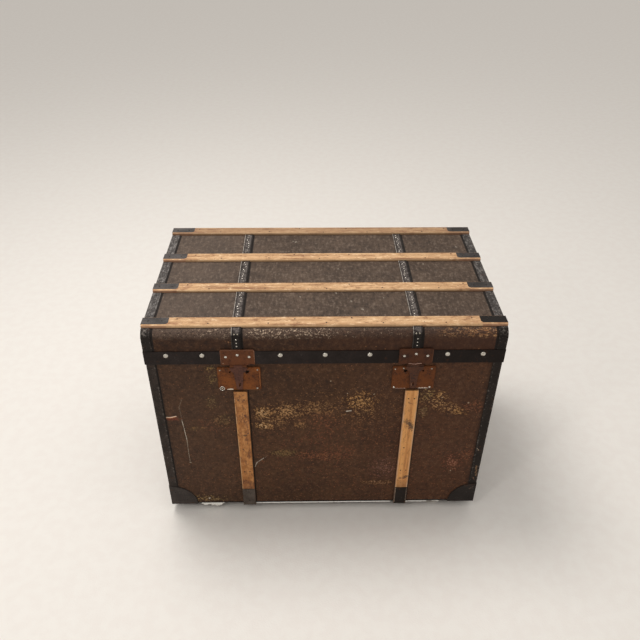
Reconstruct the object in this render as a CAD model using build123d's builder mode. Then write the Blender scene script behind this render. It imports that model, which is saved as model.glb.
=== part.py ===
"""Flat-topped travel trunk, closed, as an assembly of its real pieces.

The trunk is a nailed box of thin boards covered with canvas. A shallow lid of the same make is hinged
at the back. Sheet iron binds the ends and corners, wooden slats guard the top, front and back, and two
hasps on the lid hang over two locks on the body. A drop handle hangs on each end.

Millimetres. X runs along the trunk, -Y is its front and +Z is up. The origin is on the floor, under
the middle of the trunk.
"""

import os

from build123d import *

# Body and lid, measured over the canvas
body_width = 798
body_depth = 482
body_height = 490
lid_height = 75
lid_overhang = 1.3
lid_edge_radius = 20
ground_clearance = 28
joint_gap = 0.3
past = 1  # how far a cut runs past the face that it opens

# Boards and skins
board = 10
rabbet = 4
canvas = 1
lining = 0.8
lining_below_rim = 2

# Sheet iron bindings on the edges of the two ends
binding = 0.9
binding_width = 20

# Iron band round the lid's rim, which laps over the joint, and its dome nails
band = 2
band_height = 35.4
band_lap = 12.5
band_corner = 1.5
strip_gap = 1
nail_radius = 5.5
nail_height = 2.6
nail_above_middle = 7.5
nail_from_end = 47
nail_outside_lock = 74
nail_inside_lock = 99
end_nail_pitch = 127

# Wooden slats
slat_width = 32
slat = 7
slat_chamfer = 1.5
slat_from_edge = 30.55  # middle of an outer slat from the canvas
slat_below_lock = 4

# Straps across the lid, in line with the locks and hinges
strap = 1.8
strap_width = 21.5
strap_rib = 0.7
strap_rib_width = 3.2
notch_clearance = 0.2

# Clips on the ends of the top slats, let in flush, and on the feet of the upright slats
clip = 0.9
clip_length = 58
clip_width = 25
clip_from_front = 5.3
clip_drop = 30
clip_corner = 8
foot_clip_width = slat_width
foot_clip_height = 62
foot_clip_reach = 40

# Stamped protectors on the four bottom corners
corner_reach = 68
corner_sheet = 1

# Locks on the body
lock_from_middle = 198.5
locks_to_right = 4
case_width = 98
case_height = 66
case = 4
case_corner = 4
case_bevel = 1.5
case_below_joint = 56
spindle_hole = 2.2
spindle_hole_offset = 20
key_hole = 4
key_hole_offset = 19.5
lock_hole_height = 21

# Hasps, which hang from plates on the lid
hasp_plate_width = 76
hasp_plate_height = 43
hasp_plate = 1.8
hasp_plate_corner = 4
hasp_axis_below_joint = 17.4
hasp_axis_forward = 5
hasp_knuckle = 3
hasp_pin = 1.2
hasp_barrel_width = 38
hasp_middle_width = 19.2
tongue = 2.4
tongue_clearance = 0.4
tongue_shoulder = 20
tongue_neck = 11
tongue_neck_drop = 18
tongue_tip = 7
tongue_length = 68
shoulder_drop = 3.8
tongue_lap = 1
tongue_slot = 1.6
tongue_slot_from_tip = 14

# Strap hinges at the back
hinge_leaf_width = 44
hinge_leaf = 1.5
hinge_leaf_length = 75
hinge_lid_leaf_length = 52
hinge_knuckle = 4
hinge_pin = 1.75
hinge_middle_width = 14.4
hinge_relief = 5
hinge_web = 8
hinge_stand_off = 0.5
hinge_pin_head = 3
pin_head_thickness = 1
leaf_corner = 8

# Drop handles
handle_above_bottom = 330
handle_plate_length = 150
handle_plate_width = 44
handle_plate = 1.5
handle_rod = 4
handle_boss = 7.5
handle_boss_width = 12
handle_boss_from_middle = 46
handle_leg_from_middle = 58
handle_drop = 52
handle_corner = 22
handle_shoulder = 6
handle_pin_reach = 1

# Runners and casters under the bottom
runner_pitch = 120
runner_clearance = 1
caster_from_end = 104
caster_from_front = 25
wheel_radius = 12
wheel_width = 10
wheel_edge = 2
axle = 2
axle_head = 3.2
axle_head_thickness = 1
caster_plate_length = 44
caster_plate_width = 34
caster_plate = 1.5
caster_ear = 2
caster_ear_radius = 6
caster_side_gap = 1.5

# Clearances
running = 0.05
knuckle_gap = 0.3

# Planes of the body and of the lid
end = body_width / 2
front = -body_depth / 2
back = body_depth / 2
bottom = ground_clearance
joint = bottom + body_height
lid_base = joint + joint_gap
lid_top = joint + lid_height
lid_end = end + lid_overhang
lid_front = front - lid_overhang
lid_back = back + lid_overhang
band_low = joint - band_lap
band_high = band_low + band_height
slat_top = lid_top + slat

# Outer faces of the boards, under the canvas
frame_end = end - canvas
frame_front = front + canvas
frame_back = back - canvas
frame_bottom = bottom + canvas

# Heights and depths of the fittings
case_z = joint - case_below_joint
case_front = front - case
case_bottom = case_z - case_height / 2
hasp_axis_y = front - hasp_axis_forward
hasp_axis_z = joint - hasp_axis_below_joint
hasp_plate_back = lid_front - band
hasp_plate_low = hasp_axis_z + hasp_knuckle + tongue_clearance
hasp_plate_high = hasp_plate_low + hasp_plate_height
tongue_back = case_front - tongue_clearance
hinge_axis_y = lid_back + hinge_stand_off + hinge_knuckle
hinge_axis_z = joint
handle_axis_x = end + handle_plate + handle_boss
handle_axis_z = bottom + handle_above_bottom
sides = (("left", -1), ("right", 1))


def block(x, y, z, mode=Mode.ADD):
    """A box between two corners, each side given as its two ends in any order."""
    spans = [tuple(sorted(pair)) for pair in (x, y, z)]
    with Locations(tuple((low + high) / 2 for low, high in spans)):
        Box(*(high - low for low, high in spans), mode=mode)


def rod_along_x(x, y, z, radius, mode=Mode.ADD):
    """A round bar along X between two ends."""
    with Locations(((x[0] + x[1]) / 2, y, z)):
        Cylinder(radius, abs(x[1] - x[0]), rotation=(0, 90, 0), mode=mode)


def rod_along_y(x, y, z, radius, mode=Mode.ADD):
    """A round bar along Y between two ends."""
    with Locations((x, (y[0] + y[1]) / 2, z)):
        Cylinder(radius, abs(y[1] - y[0]), rotation=(90, 0, 0), mode=mode)


def facing_front(x, y, z):
    """A sketch plane that faces the front: its X is the trunk's X and its Y is up."""
    return Plane(origin=(x, y, z), x_dir=(1, 0, 0), z_dir=(0, -1, 0))


def facing_back(x, y, z):
    """A sketch plane that faces the back, with its Y up."""
    return Plane(origin=(x, y, z), x_dir=(-1, 0, 0), z_dir=(0, 1, 0))


def facing_end(x, y, z, side):
    """A sketch plane that faces out of one end, with its Y up."""
    return Plane(origin=(x, y, z), x_dir=(0, side, 0), z_dir=(side, 0, 0))


def lock_middle(side):
    """The X of the middle of one side's lock, slats, strap and hinge."""
    return side * lock_from_middle + locks_to_right


def save(piece, name):
    """Name a piece and write its file."""
    piece.part.label = name
    export_step(piece.part, f"parts/{name}.step")


# Body of boards


def long_board(face_out, face_in):
    """The front or back board, rabbeted for the end boards. Its faces are given as Y values."""
    seat = face_in - rabbet if face_in > face_out else face_in + rabbet
    with BuildPart() as piece:
        block((-frame_end, frame_end), (face_out, face_in), (frame_bottom, joint))
        for side in (-1, 1):
            corner = (side * (frame_end - board), side * frame_end)
            block(corner, (seat, face_in), (frame_bottom, joint), mode=Mode.SUBTRACT)
    return piece


def end_board(side):
    """An end board, housed in the rabbets of the front and back boards."""
    seat = board - rabbet
    with BuildPart() as piece:
        block(
            (side * (frame_end - board), side * frame_end),
            (frame_front + seat, frame_back - seat),
            (frame_bottom, joint),
        )
    return piece


def bottom_board():
    """The bottom, nailed between the four sides."""
    inner = frame_end - board
    with BuildPart() as piece:
        block(
            (-inner, inner),
            (frame_front + board, frame_back - board),
            (frame_bottom, frame_bottom + board),
        )
    return piece


def body_canvas():
    """The canvas skin on the body's four sides and bottom."""
    with BuildPart() as piece:
        block((-end, end), (front, back), (bottom, joint))
        block(
            (-frame_end, frame_end),
            (frame_front, frame_back),
            (frame_bottom, joint + past),
            mode=Mode.SUBTRACT,
        )
    return piece


def body_lining():
    """The paper lining on the inside of the boards."""
    wall_x = frame_end - board
    wall_front = frame_front + board
    wall_back = frame_back - board
    floor = frame_bottom + board
    rim = joint - lining_below_rim
    with BuildPart() as piece:
        block((-wall_x, wall_x), (wall_front, wall_back), (floor, rim))
        block(
            (lining - wall_x, wall_x - lining),
            (wall_front + lining, wall_back - lining),
            (floor + lining, rim + past),
            mode=Mode.SUBTRACT,
        )
    return piece


# Lid of boards


def lid_form(inset, base):
    """The lid's outer form, moved in by inset: a box whose two long top edges are rounded."""
    with BuildPart() as form:
        block(
            (inset - lid_end, lid_end - inset),
            (lid_front + inset, lid_back - inset),
            (base, lid_top - inset),
        )
        long_top_edges = form.edges().filter_by(Axis.X).group_by(Axis.Z)[-1]
        fillet(long_top_edges, lid_edge_radius - inset)
    return form.part


def lid_top_board():
    """The lid's top, with its rounded front and back edges."""
    with BuildPart() as piece:
        add(lid_form(canvas, lid_base))
        block(
            (-lid_end, lid_end),
            (lid_front, lid_back),
            (lid_top - canvas - board, lid_top),
            mode=Mode.INTERSECT,
        )
    return piece


def lid_rail(face_out, face_in):
    """The lid's front or back rail, rounded at the top with the board that it carries."""
    with BuildPart() as piece:
        add(lid_form(canvas, lid_base))
        block(
            (-lid_end, lid_end),
            (face_out, face_in),
            (lid_base, lid_top - canvas - board),
            mode=Mode.INTERSECT,
        )
    return piece


def lid_end_board(side):
    """An end of the lid, between its two rails."""
    with BuildPart() as piece:
        block(
            (side * (lid_end - canvas - board), side * (lid_end - canvas)),
            (lid_front + canvas + board, lid_back - canvas - board),
            (lid_base, lid_top - canvas - board),
        )
    return piece


def lid_canvas():
    """The canvas skin on the lid's top and four sides."""
    with BuildPart() as piece:
        add(lid_form(0, lid_base))
        add(lid_form(canvas, lid_base - past), mode=Mode.SUBTRACT)
    return piece


def lid_lining():
    """The paper lining inside the lid."""
    inset = canvas + board
    x = lid_end - inset
    y = (lid_front + inset, lid_back - inset)
    rim = lid_base + lining_below_rim
    ceiling = lid_top - inset
    with BuildPart() as piece:
        block((-x, x), y, (rim, ceiling))
        block(
            (lining - x, x - lining),
            (y[0] + lining, y[1] - lining),
            (rim - past, ceiling - lining),
            mode=Mode.SUBTRACT,
        )
    return piece


# Iron bindings, band and straps


def body_binding(side):
    """The angle iron on one end of the body: up both corners and along the bottom."""
    inner = end - binding_width
    with BuildPart() as piece:
        block(
            (side * inner, side * (end + binding)),
            (front - binding, back + binding),
            (bottom - binding, joint),
        )
        block((side * (inner - past), side * end), (front, back), (bottom, joint + past), mode=Mode.SUBTRACT)
        block(
            (side * end, side * (end + binding + past)),
            (front + binding_width, back - binding_width),
            (bottom + binding_width, joint + past),
            mode=Mode.SUBTRACT,
        )
    return piece


def lid_binding(side):
    """The angle iron on one end of the lid: up the front, over the top and down the back."""
    with BuildPart() as piece:
        add(lid_form(-binding, band_high))
        add(lid_form(0, band_high - past), mode=Mode.SUBTRACT)
        block(
            (side * (lid_end - binding_width), side * (lid_end + binding)),
            (lid_front - binding, lid_back + binding),
            (band_high, lid_top + binding),
            mode=Mode.INTERSECT,
        )
        block(
            (side * lid_end, side * (lid_end + binding + past)),
            (lid_front + binding_width, lid_back - binding_width),
            (band_high - past, lid_top - binding_width),
            mode=Mode.SUBTRACT,
        )
    return piece


def corner_protector(side, y_face, inward):
    """A stamped corner piece: three quarter rounds about the corner, dished over the binding."""
    outer = binding + corner_sheet
    with BuildPart() as piece:
        block(
            (side * (end + outer), side * (end - corner_reach - past)),
            (y_face - inward * outer, y_face + inward * (corner_reach + past)),
            (bottom - outer, bottom + corner_reach + past),
        )
        block((-end, end), (front, back), (bottom, joint), mode=Mode.SUBTRACT)
        with Locations((side * end, y_face, bottom)):
            Sphere(corner_reach, mode=Mode.INTERSECT)
        add(body_binding(side).part, mode=Mode.SUBTRACT)
    return piece


def lid_band():
    """The band on the rim of the lid's front and ends, which laps down over the joint."""
    outer = lid_end + band
    with BuildPart() as piece:
        block((-outer, outer), (lid_front - band, lid_back), (band_low, band_high))
        front_corners = piece.edges().filter_by(Axis.Z).group_by(Axis.Y)[0]
        fillet(front_corners, band_corner)
        block(
            (-lid_end, lid_end),
            (lid_front, lid_back + past),
            (band_low - past, band_high + past),
            mode=Mode.SUBTRACT,
        )
    return piece


def lid_back_strip():
    """The flat strip along the back of the lid, cut away at the hinges."""
    half_cut = hinge_leaf_width / 2 + strip_gap
    with BuildPart() as piece:
        block((-lid_end, lid_end), (lid_back, lid_back + band), (lid_base, band_high))
        for side in (-1, 1):
            x = lock_middle(side)
            block(
                (x - half_cut, x + half_cut),
                (lid_back, lid_back + band),
                (lid_base, band_high),
                mode=Mode.SUBTRACT,
            )
    return piece


def dome_nail():
    """A dome-headed nail, standing on its base: the cap of a ball."""
    ball = (nail_radius**2 + nail_height**2) / (2 * nail_height)
    with BuildPart() as piece:
        with Locations((0, 0, nail_height - ball)):
            Sphere(ball)
        block((-ball, ball), (-ball, ball), (0, nail_height), mode=Mode.INTERSECT)
    return piece.part


def band_nails():
    """The dome nails on the band: a row on the front and one on each end."""
    nail_z = (band_low + band_high) / 2 + nail_above_middle
    beside = (lock_from_middle - nail_inside_lock, lock_from_middle + nail_outside_lock, end - nail_from_end)
    front_nails = [0] + [side * x for x in beside for side in (-1, 1)]
    end_nails = [end_nail_pitch * step for step in (-1.5, -0.5, 0.5, 1.5)]
    places = [facing_front(x, lid_front - band, nail_z) for x in front_nails]
    for side in (-1, 1):
        places += [facing_end(side * (lid_end + band), y, nail_z, side) for y in end_nails]
    nail = dome_nail()
    with BuildPart() as piece:
        with Locations(*places):
            add(nail)
    return piece


def lid_strap(side):
    """A strap with a rib along both edges, from the hasp plate over the lid to the hinge leaf."""
    middle = lock_middle(side)
    half = strap_width / 2
    between = half - strap_rib_width
    thick = strap + strap_rib
    y = (lid_front - thick, lid_back + thick)
    with BuildPart() as channel:
        block((middle - between, middle + between), y, (lid_base, lid_top + thick))
        add(lid_form(-strap, lid_base), mode=Mode.SUBTRACT)
    with BuildPart() as piece:
        add(lid_form(-thick, lid_base))
        add(lid_form(0, lid_base - past), mode=Mode.SUBTRACT)
        block(
            (middle - half, middle + half),
            y,
            (hasp_plate_high + notch_clearance, lid_top + thick),
            mode=Mode.INTERSECT,
        )
        block(
            (middle - half, middle + half),
            (lid_back, y[1]),
            (lid_base, joint + hinge_lid_leaf_length + notch_clearance),
            mode=Mode.SUBTRACT,
        )
        add(channel.part, mode=Mode.SUBTRACT)
    return piece


# Slats and their clips


def clip_outline(side, y, past_end):
    """A top clip seen from above, reaching past the slat's end, with its inner front corner rounded."""
    tip = lid_end + binding + past_end
    length = clip_length + past_end
    with BuildSketch() as outline:
        with Locations((side * (tip - length / 2), y - slat_width / 2 + clip_from_front + clip_width / 2)):
            Rectangle(length, clip_width)
        front_corners = outline.vertices().group_by(Axis.Y)[0].sort_by(Axis.X)
        fillet(front_corners[-1] if side < 0 else front_corners[0], clip_corner)
    return outline.sketch


def top_slat(y):
    """A slat along the lid, notched over the straps and bindings, with beds for its end clips."""
    half = lid_end + binding
    low, high = y - slat_width / 2, y + slat_width / 2
    with BuildPart() as piece:
        block((-half, half), (low, high), (lid_top, slat_top))
        chamfer(piece.edges().filter_by(Axis.X).group_by(Axis.Z)[-1], slat_chamfer)
        for side in (-1, 1):
            middle = lock_middle(side)
            notch = strap_width / 2 + notch_clearance
            block(
                (middle - notch, middle + notch),
                (low, high),
                (lid_top, lid_top + strap + strap_rib),
                mode=Mode.SUBTRACT,
            )
            block(
                (side * (lid_end - binding_width - notch_clearance), side * half),
                (low, high),
                (lid_top, lid_top + binding),
                mode=Mode.SUBTRACT,
            )
            with BuildSketch(Plane.XY.offset(slat_top - clip)):
                add(clip_outline(side, y, 0))
            extrude(amount=clip, mode=Mode.SUBTRACT)
    return piece


def slat_end_clips(side):
    """The four clips at one end of the lid, bent down over the ends of the slats."""
    half = lid_end + binding
    with BuildPart() as piece:
        for y in slat_rows:
            low = y - slat_width / 2 + clip_from_front
            with BuildSketch(Plane.XY.offset(slat_top - clip)):
                add(clip_outline(side, y, clip))
            extrude(amount=clip)
            block(
                (side * half, side * (half + clip)), (low, low + clip_width), (slat_top - clip_drop, slat_top)
            )
    return piece


def upright_slat(x, face, outward, top):
    """A slat up the front or back of the body, with chamfered edges."""
    with BuildPart() as piece:
        block((x - slat_width / 2, x + slat_width / 2), (face, face + outward * slat), (bottom, top))
        upright = piece.edges().filter_by(Axis.Z).sort_by(Axis.Y)
        outer = upright[:2] if outward < 0 else upright[-2:]
        chamfer(outer, slat_chamfer)
    return piece


def slat_foot_clips():
    """The clips over the feet of the four upright slats, bent under the bottom."""
    with BuildPart() as piece:
        for side in (-1, 1):
            x = lock_middle(side)
            width = (x - foot_clip_width / 2, x + foot_clip_width / 2)
            for face, outward in ((front, -1), (back, 1)):
                wood = face + outward * slat
                outer = wood + outward * clip
                block(width, (wood, outer), (bottom - clip, bottom + foot_clip_height))
                block(width, (outer, face - outward * foot_clip_reach), (bottom - clip, bottom))
    return piece


# Locks and hasps


def lock_case(side):
    """A lock's face plate, with bevelled edges and its two openings."""
    middle = lock_middle(side)
    with BuildPart() as piece:
        with BuildSketch(facing_front(middle, front, case_z)):
            RectangleRounded(case_width, case_height, case_corner)
        extrude(amount=case)
        chamfer(piece.faces().sort_by(Axis.Y)[0].edges(), case_bevel)
        with BuildSketch(facing_front(middle, case_front, case_z)):
            with Locations((side * spindle_hole_offset, lock_hole_height)):
                Circle(spindle_hole)
            with Locations((-side * key_hole_offset, lock_hole_height)):
                Circle(key_hole)
        extrude(amount=-case, mode=Mode.SUBTRACT)
    return piece


def hasp_plate_with_knuckles(side):
    """The plate on the lid that carries a hasp, with its two outer knuckles."""
    middle = lock_middle(side)
    face = hasp_plate_back - hasp_plate
    with BuildPart() as piece:
        with BuildSketch(facing_front(middle, hasp_plate_back, (hasp_plate_low + hasp_plate_high) / 2)):
            RectangleRounded(hasp_plate_width, hasp_plate_height, hasp_plate_corner)
        extrude(amount=hasp_plate)
        for hand in (-1, 1):
            x = (
                middle + hand * (hasp_middle_width / 2 + knuckle_gap),
                middle + hand * hasp_barrel_width / 2,
            )
            block(x, (face, hasp_plate_back), (hasp_axis_z, hasp_plate_low))
            rod_along_x(x, hasp_axis_y, hasp_axis_z, hasp_knuckle)
        barrel = (middle - hasp_barrel_width, middle + hasp_barrel_width)
        rod_along_x(barrel, hasp_axis_y, hasp_axis_z, hasp_pin + running, mode=Mode.SUBTRACT)
    return piece


def hasp_pin_rod(side):
    """The pin through a hasp's knuckles."""
    middle = lock_middle(side)
    half = hasp_barrel_width / 2
    with BuildPart() as piece:
        rod_along_x((middle - half, middle + half), hasp_axis_y, hasp_axis_z, hasp_pin)
    return piece


def hasp(side):
    """A hasp: its middle knuckle and the tongue, which narrows to a round tip with a slot."""
    middle = lock_middle(side)
    half_knuckle = hasp_middle_width / 2
    tip_centre = tongue_tip - tongue_length
    with BuildPart() as piece:
        with BuildSketch(facing_front(middle, tongue_back, hasp_axis_z)):
            with BuildLine():
                top = Line((0, -shoulder_drop), (tongue_shoulder, -shoulder_drop))
                flare = RadiusArc(top @ 1, (tongue_neck, -tongue_neck_drop), tongue_neck_drop)
                flank = Line(flare @ 1, (tongue_tip, tip_centre))
                tip_side = (tongue_tip * 0.7071, tip_centre - tongue_tip * 0.7071)
                ThreePointArc(flank @ 1, tip_side, (0, -tongue_length))
                Line((0, -tongue_length), (0, -shoulder_drop))
            make_face()
            mirror(about=Plane.YZ)
        extrude(amount=tongue)
        block(
            (middle - half_knuckle, middle + half_knuckle),
            (tongue_back - tongue, tongue_back),
            (hasp_axis_z - shoulder_drop - tongue_lap, hasp_axis_z),
        )
        knuckle = (middle - half_knuckle, middle + half_knuckle)
        rod_along_x(knuckle, hasp_axis_y, hasp_axis_z, hasp_knuckle)
        rod_along_x(knuckle, hasp_axis_y, hasp_axis_z, hasp_pin + running, mode=Mode.SUBTRACT)
        slot_z = hasp_axis_z - tongue_length + tongue_slot_from_tip
        with BuildSketch(facing_front(middle, tongue_back, slot_z)):
            SlotCenterToCenter(tongue_slot * 4, tongue_slot * 2, rotation=90)
        extrude(amount=tongue, mode=Mode.SUBTRACT)
    return piece


# Hinges


def hinge_body_leaves():
    """The two hinge leaves on the back of the body, each with two outer knuckles."""
    half = hinge_leaf_width / 2
    inner = hinge_middle_width / 2 + knuckle_gap
    with BuildPart() as piece:
        for side in (-1, 1):
            middle = lock_middle(side)
            centre_z = joint - (hinge_leaf_length + hinge_relief) / 2
            with BuildSketch(facing_back(middle, back, centre_z)):
                leaf = Rectangle(hinge_leaf_width, hinge_leaf_length - hinge_relief)
                fillet(leaf.vertices().group_by(Axis.Y)[0], leaf_corner)
            extrude(amount=hinge_leaf)
            for hand in (-1, 1):
                x = (middle + hand * inner, middle + hand * half)
                block(x, (back, hinge_axis_y), (hinge_axis_z - hinge_web, hinge_axis_z))
                rod_along_x(x, hinge_axis_y, hinge_axis_z, hinge_knuckle)
            barrel = (middle - half - past, middle + half + past)
            rod_along_x(barrel, hinge_axis_y, hinge_axis_z, hinge_pin + running, mode=Mode.SUBTRACT)
    return piece


def hinge_lid_leaves():
    """The two hinge leaves on the back of the lid, each with one middle knuckle."""
    half = hinge_middle_width / 2
    with BuildPart() as piece:
        for side in (-1, 1):
            middle = lock_middle(side)
            centre_z = joint + (hinge_lid_leaf_length + hinge_relief) / 2
            with BuildSketch(facing_back(middle, lid_back, centre_z)):
                leaf = Rectangle(hinge_leaf_width, hinge_lid_leaf_length - hinge_relief)
                fillet(leaf.vertices().group_by(Axis.Y)[-1], leaf_corner)
            extrude(amount=hinge_leaf)
            x = (middle - half, middle + half)
            block(x, (lid_back, hinge_axis_y), (hinge_axis_z + joint_gap, hinge_axis_z + hinge_web))
            rod_along_x(x, hinge_axis_y, hinge_axis_z, hinge_knuckle)
            rod_along_x(x, hinge_axis_y, hinge_axis_z, hinge_pin + running, mode=Mode.SUBTRACT)
    return piece


def hinge_pins():
    """The two hinge pins, each with a flat head at both ends."""
    half = hinge_leaf_width / 2
    with BuildPart() as piece:
        for side in (-1, 1):
            middle = lock_middle(side)
            tips = (middle - half - pin_head_thickness, middle + half + pin_head_thickness)
            rod_along_x(tips, hinge_axis_y, hinge_axis_z, hinge_pin)
            for hand in (-1, 1):
                head = (middle + hand * (half + running), middle + hand * (half + pin_head_thickness))
                rod_along_x(head, hinge_axis_y, hinge_axis_z, hinge_pin_head)
    return piece


# Handles


def handle_plate_with_bosses(side):
    """The plate of a drop handle, with two bored bosses that carry the bail."""
    with BuildPart() as piece:
        with BuildSketch(facing_end(side * end, 0, handle_axis_z, side)):
            SlotOverall(handle_plate_length, handle_plate_width)
        extrude(amount=handle_plate)
        for hand in (-1, 1):
            middle = hand * handle_boss_from_middle
            y = (middle - handle_boss_width / 2, middle + handle_boss_width / 2)
            block(
                (side * (end + handle_plate / 2), side * handle_axis_x),
                y,
                (handle_axis_z - handle_boss, handle_axis_z + handle_boss),
            )
            rod_along_y(side * handle_axis_x, y, handle_axis_z, handle_boss)
            rod_along_y(side * handle_axis_x, y, handle_axis_z, handle_rod + running, mode=Mode.SUBTRACT)
    return piece


def handle_bail(side):
    """The bail of a drop handle: one bent rod whose ends turn in through the bosses."""
    pin_end = handle_boss_from_middle - handle_boss_width / 2 - handle_pin_reach
    leg = handle_leg_from_middle
    with BuildPart() as piece:
        with BuildLine(facing_end(side * handle_axis_x, 0, handle_axis_z, side)) as route:
            FilletPolyline(
                (pin_end, 0),
                (leg, 0),
                (leg, -handle_drop),
                (-leg, -handle_drop),
                (-leg, 0),
                (-pin_end, 0),
                radius=[handle_shoulder, handle_corner, handle_corner, handle_shoulder],
            )
        with BuildSketch(Plane(origin=route.line @ 0, z_dir=route.line % 0)):
            Circle(handle_rod)
        sweep()
    return piece


# Runners and casters


def bottom_runners():
    """Three slats under the bottom, between the end bindings."""
    half = end - binding_width - runner_clearance
    with BuildPart() as piece:
        for row in (-1, 0, 1):
            y = row * runner_pitch
            block((-half, half), (y - slat_width / 2, y + slat_width / 2), (bottom - slat, bottom))
    return piece


def caster_brackets():
    """Four iron brackets under the corners: a plate and two ears."""
    ear_inner = wheel_width / 2 + caster_side_gap
    with BuildPart() as piece:
        for x, y in caster_places:
            block(
                (x - caster_plate_length / 2, x + caster_plate_length / 2),
                (y - caster_plate_width / 2, y + caster_plate_width / 2),
                (bottom - caster_plate, bottom),
            )
            for hand in (-1, 1):
                thickness = (y + hand * ear_inner, y + hand * (ear_inner + caster_ear))
                rod_along_y(x, thickness, wheel_radius, caster_ear_radius)
                block(
                    (x - caster_ear_radius, x + caster_ear_radius),
                    thickness,
                    (wheel_radius, bottom - caster_plate),
                )
            bore = (y - caster_plate_width, y + caster_plate_width)
            rod_along_y(x, bore, wheel_radius, axle + running, mode=Mode.SUBTRACT)
    return piece


def caster_axles():
    """Four axles with riveted heads outside the ears."""
    half = wheel_width / 2 + caster_side_gap + caster_ear
    with BuildPart() as piece:
        for x, y in caster_places:
            rod_along_y(x, (y - half, y + half), wheel_radius, axle)
            for hand in (-1, 1):
                head = (y + hand * (half + running), y + hand * (half + axle_head_thickness))
                rod_along_y(x, (y + hand * half, y + hand * (half + axle_head_thickness)), wheel_radius, axle)
                rod_along_y(x, head, wheel_radius, axle_head)
    return piece


def caster_wheel(x, y):
    """A turned wheel with bevelled rims."""
    half = wheel_width / 2
    with BuildPart() as piece:
        rod_along_y(x, (y - half, y + half), wheel_radius, wheel_radius)
        chamfer(piece.edges(), wheel_edge)
        rod_along_y(x, (y - half, y + half), wheel_radius, axle + running, mode=Mode.SUBTRACT)
    return piece


outer_row = body_depth / 2 - slat_from_edge
slat_rows = [outer_row * share for share in (-1, -1 / 3, 1 / 3, 1)]
caster_rows = {"front": front + caster_from_front, "back": back - caster_from_front}
caster_x = end - caster_from_end
caster_places = [(side * caster_x, y) for y in caster_rows.values() for _, side in sides]

os.makedirs("parts", exist_ok=True)

save(long_board(frame_front, frame_front + board), "front_board")
save(long_board(frame_back, frame_back - board), "back_board")
save(bottom_board(), "bottom_board")
save(body_canvas(), "body_canvas")
save(body_lining(), "body_lining")

save(lid_top_board(), "lid_top_board")
save(lid_rail(lid_front, lid_front + canvas + board), "lid_front_rail")
save(lid_rail(lid_back, lid_back - canvas - board), "lid_back_rail")
save(lid_canvas(), "lid_canvas")
save(lid_lining(), "lid_lining")
save(lid_band(), "lid_band")
save(lid_back_strip(), "lid_back_strip")
save(band_nails(), "band_nails")

for row, slat_y in enumerate(slat_rows, start=1):
    save(top_slat(slat_y), f"top_slat_{row}")
save(slat_foot_clips(), "slat_foot_clips")

save(hinge_body_leaves(), "hinge_body_leaves")
save(hinge_lid_leaves(), "hinge_lid_leaves")
save(hinge_pins(), "hinge_pins")
save(bottom_runners(), "bottom_runners")
save(caster_brackets(), "caster_brackets")
save(caster_axles(), "caster_axles")

for hand_name, hand_side in sides:
    slat_x = lock_middle(hand_side)
    save(end_board(hand_side), f"{hand_name}_end_board")
    save(lid_end_board(hand_side), f"lid_{hand_name}_end_board")
    save(body_binding(hand_side), f"body_binding_{hand_name}")
    save(lid_binding(hand_side), f"lid_binding_{hand_name}")
    save(corner_protector(hand_side, front, 1), f"corner_protector_front_{hand_name}")
    save(corner_protector(hand_side, back, -1), f"corner_protector_back_{hand_name}")
    save(lid_strap(hand_side), f"lid_strap_{hand_name}")
    save(slat_end_clips(hand_side), f"slat_end_clips_{hand_name}")
    save(upright_slat(slat_x, front, -1, case_bottom - slat_below_lock), f"front_slat_{hand_name}")
    save(upright_slat(slat_x, back, 1, joint - hinge_leaf_length - slat_below_lock), f"back_slat_{hand_name}")
    save(lock_case(hand_side), f"lock_case_{hand_name}")
    save(hasp_plate_with_knuckles(hand_side), f"hasp_plate_{hand_name}")
    save(hasp_pin_rod(hand_side), f"hasp_pin_{hand_name}")
    save(hasp(hand_side), f"hasp_{hand_name}")
    save(handle_plate_with_bosses(hand_side), f"handle_plate_{hand_name}")
    save(handle_bail(hand_side), f"handle_{hand_name}")
    for row_name, row_y in caster_rows.items():
        wheel = caster_wheel(hand_side * caster_x, row_y)
        save(wheel, f"caster_wheel_{row_name}_{hand_name}")
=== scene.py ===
"""Looks of the travel trunk: its finishes, its small hardware and the studio round it.

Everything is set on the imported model. Lengths are metres in that model's frame: X runs along the
trunk, its front faces -Y and Z is up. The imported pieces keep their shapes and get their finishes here,
and nails, rivets, beads and worn cloth are added on the pieces that carry them.
"""

from __future__ import annotations

import logging
import math
import random
from collections.abc import Iterable, Mapping, Sequence
from dataclasses import dataclass, field
from enum import Enum
from typing import ClassVar

import bmesh
import bpy
from mathutils import Matrix, Vector

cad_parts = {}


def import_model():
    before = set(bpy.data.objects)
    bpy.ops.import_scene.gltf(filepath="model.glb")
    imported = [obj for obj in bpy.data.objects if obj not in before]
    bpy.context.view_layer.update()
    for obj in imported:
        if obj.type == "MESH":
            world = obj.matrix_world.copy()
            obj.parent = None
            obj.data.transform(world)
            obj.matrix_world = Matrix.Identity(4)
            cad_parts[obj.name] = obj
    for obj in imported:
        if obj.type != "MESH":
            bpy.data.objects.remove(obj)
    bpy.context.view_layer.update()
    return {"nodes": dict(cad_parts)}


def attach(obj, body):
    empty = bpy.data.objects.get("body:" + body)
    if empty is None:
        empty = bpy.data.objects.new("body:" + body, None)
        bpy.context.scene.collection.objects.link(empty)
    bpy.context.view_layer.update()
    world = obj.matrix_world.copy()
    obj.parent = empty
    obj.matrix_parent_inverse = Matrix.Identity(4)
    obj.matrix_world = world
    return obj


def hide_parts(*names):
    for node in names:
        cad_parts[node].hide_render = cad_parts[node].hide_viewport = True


LOG = logging.getLogger("travel_trunk")

Shade = tuple[float, float, float, float]
Point = tuple[float, float, float]
Spot = tuple[float, float]
Seat = tuple[Sequence[float], Sequence[float]]


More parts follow.
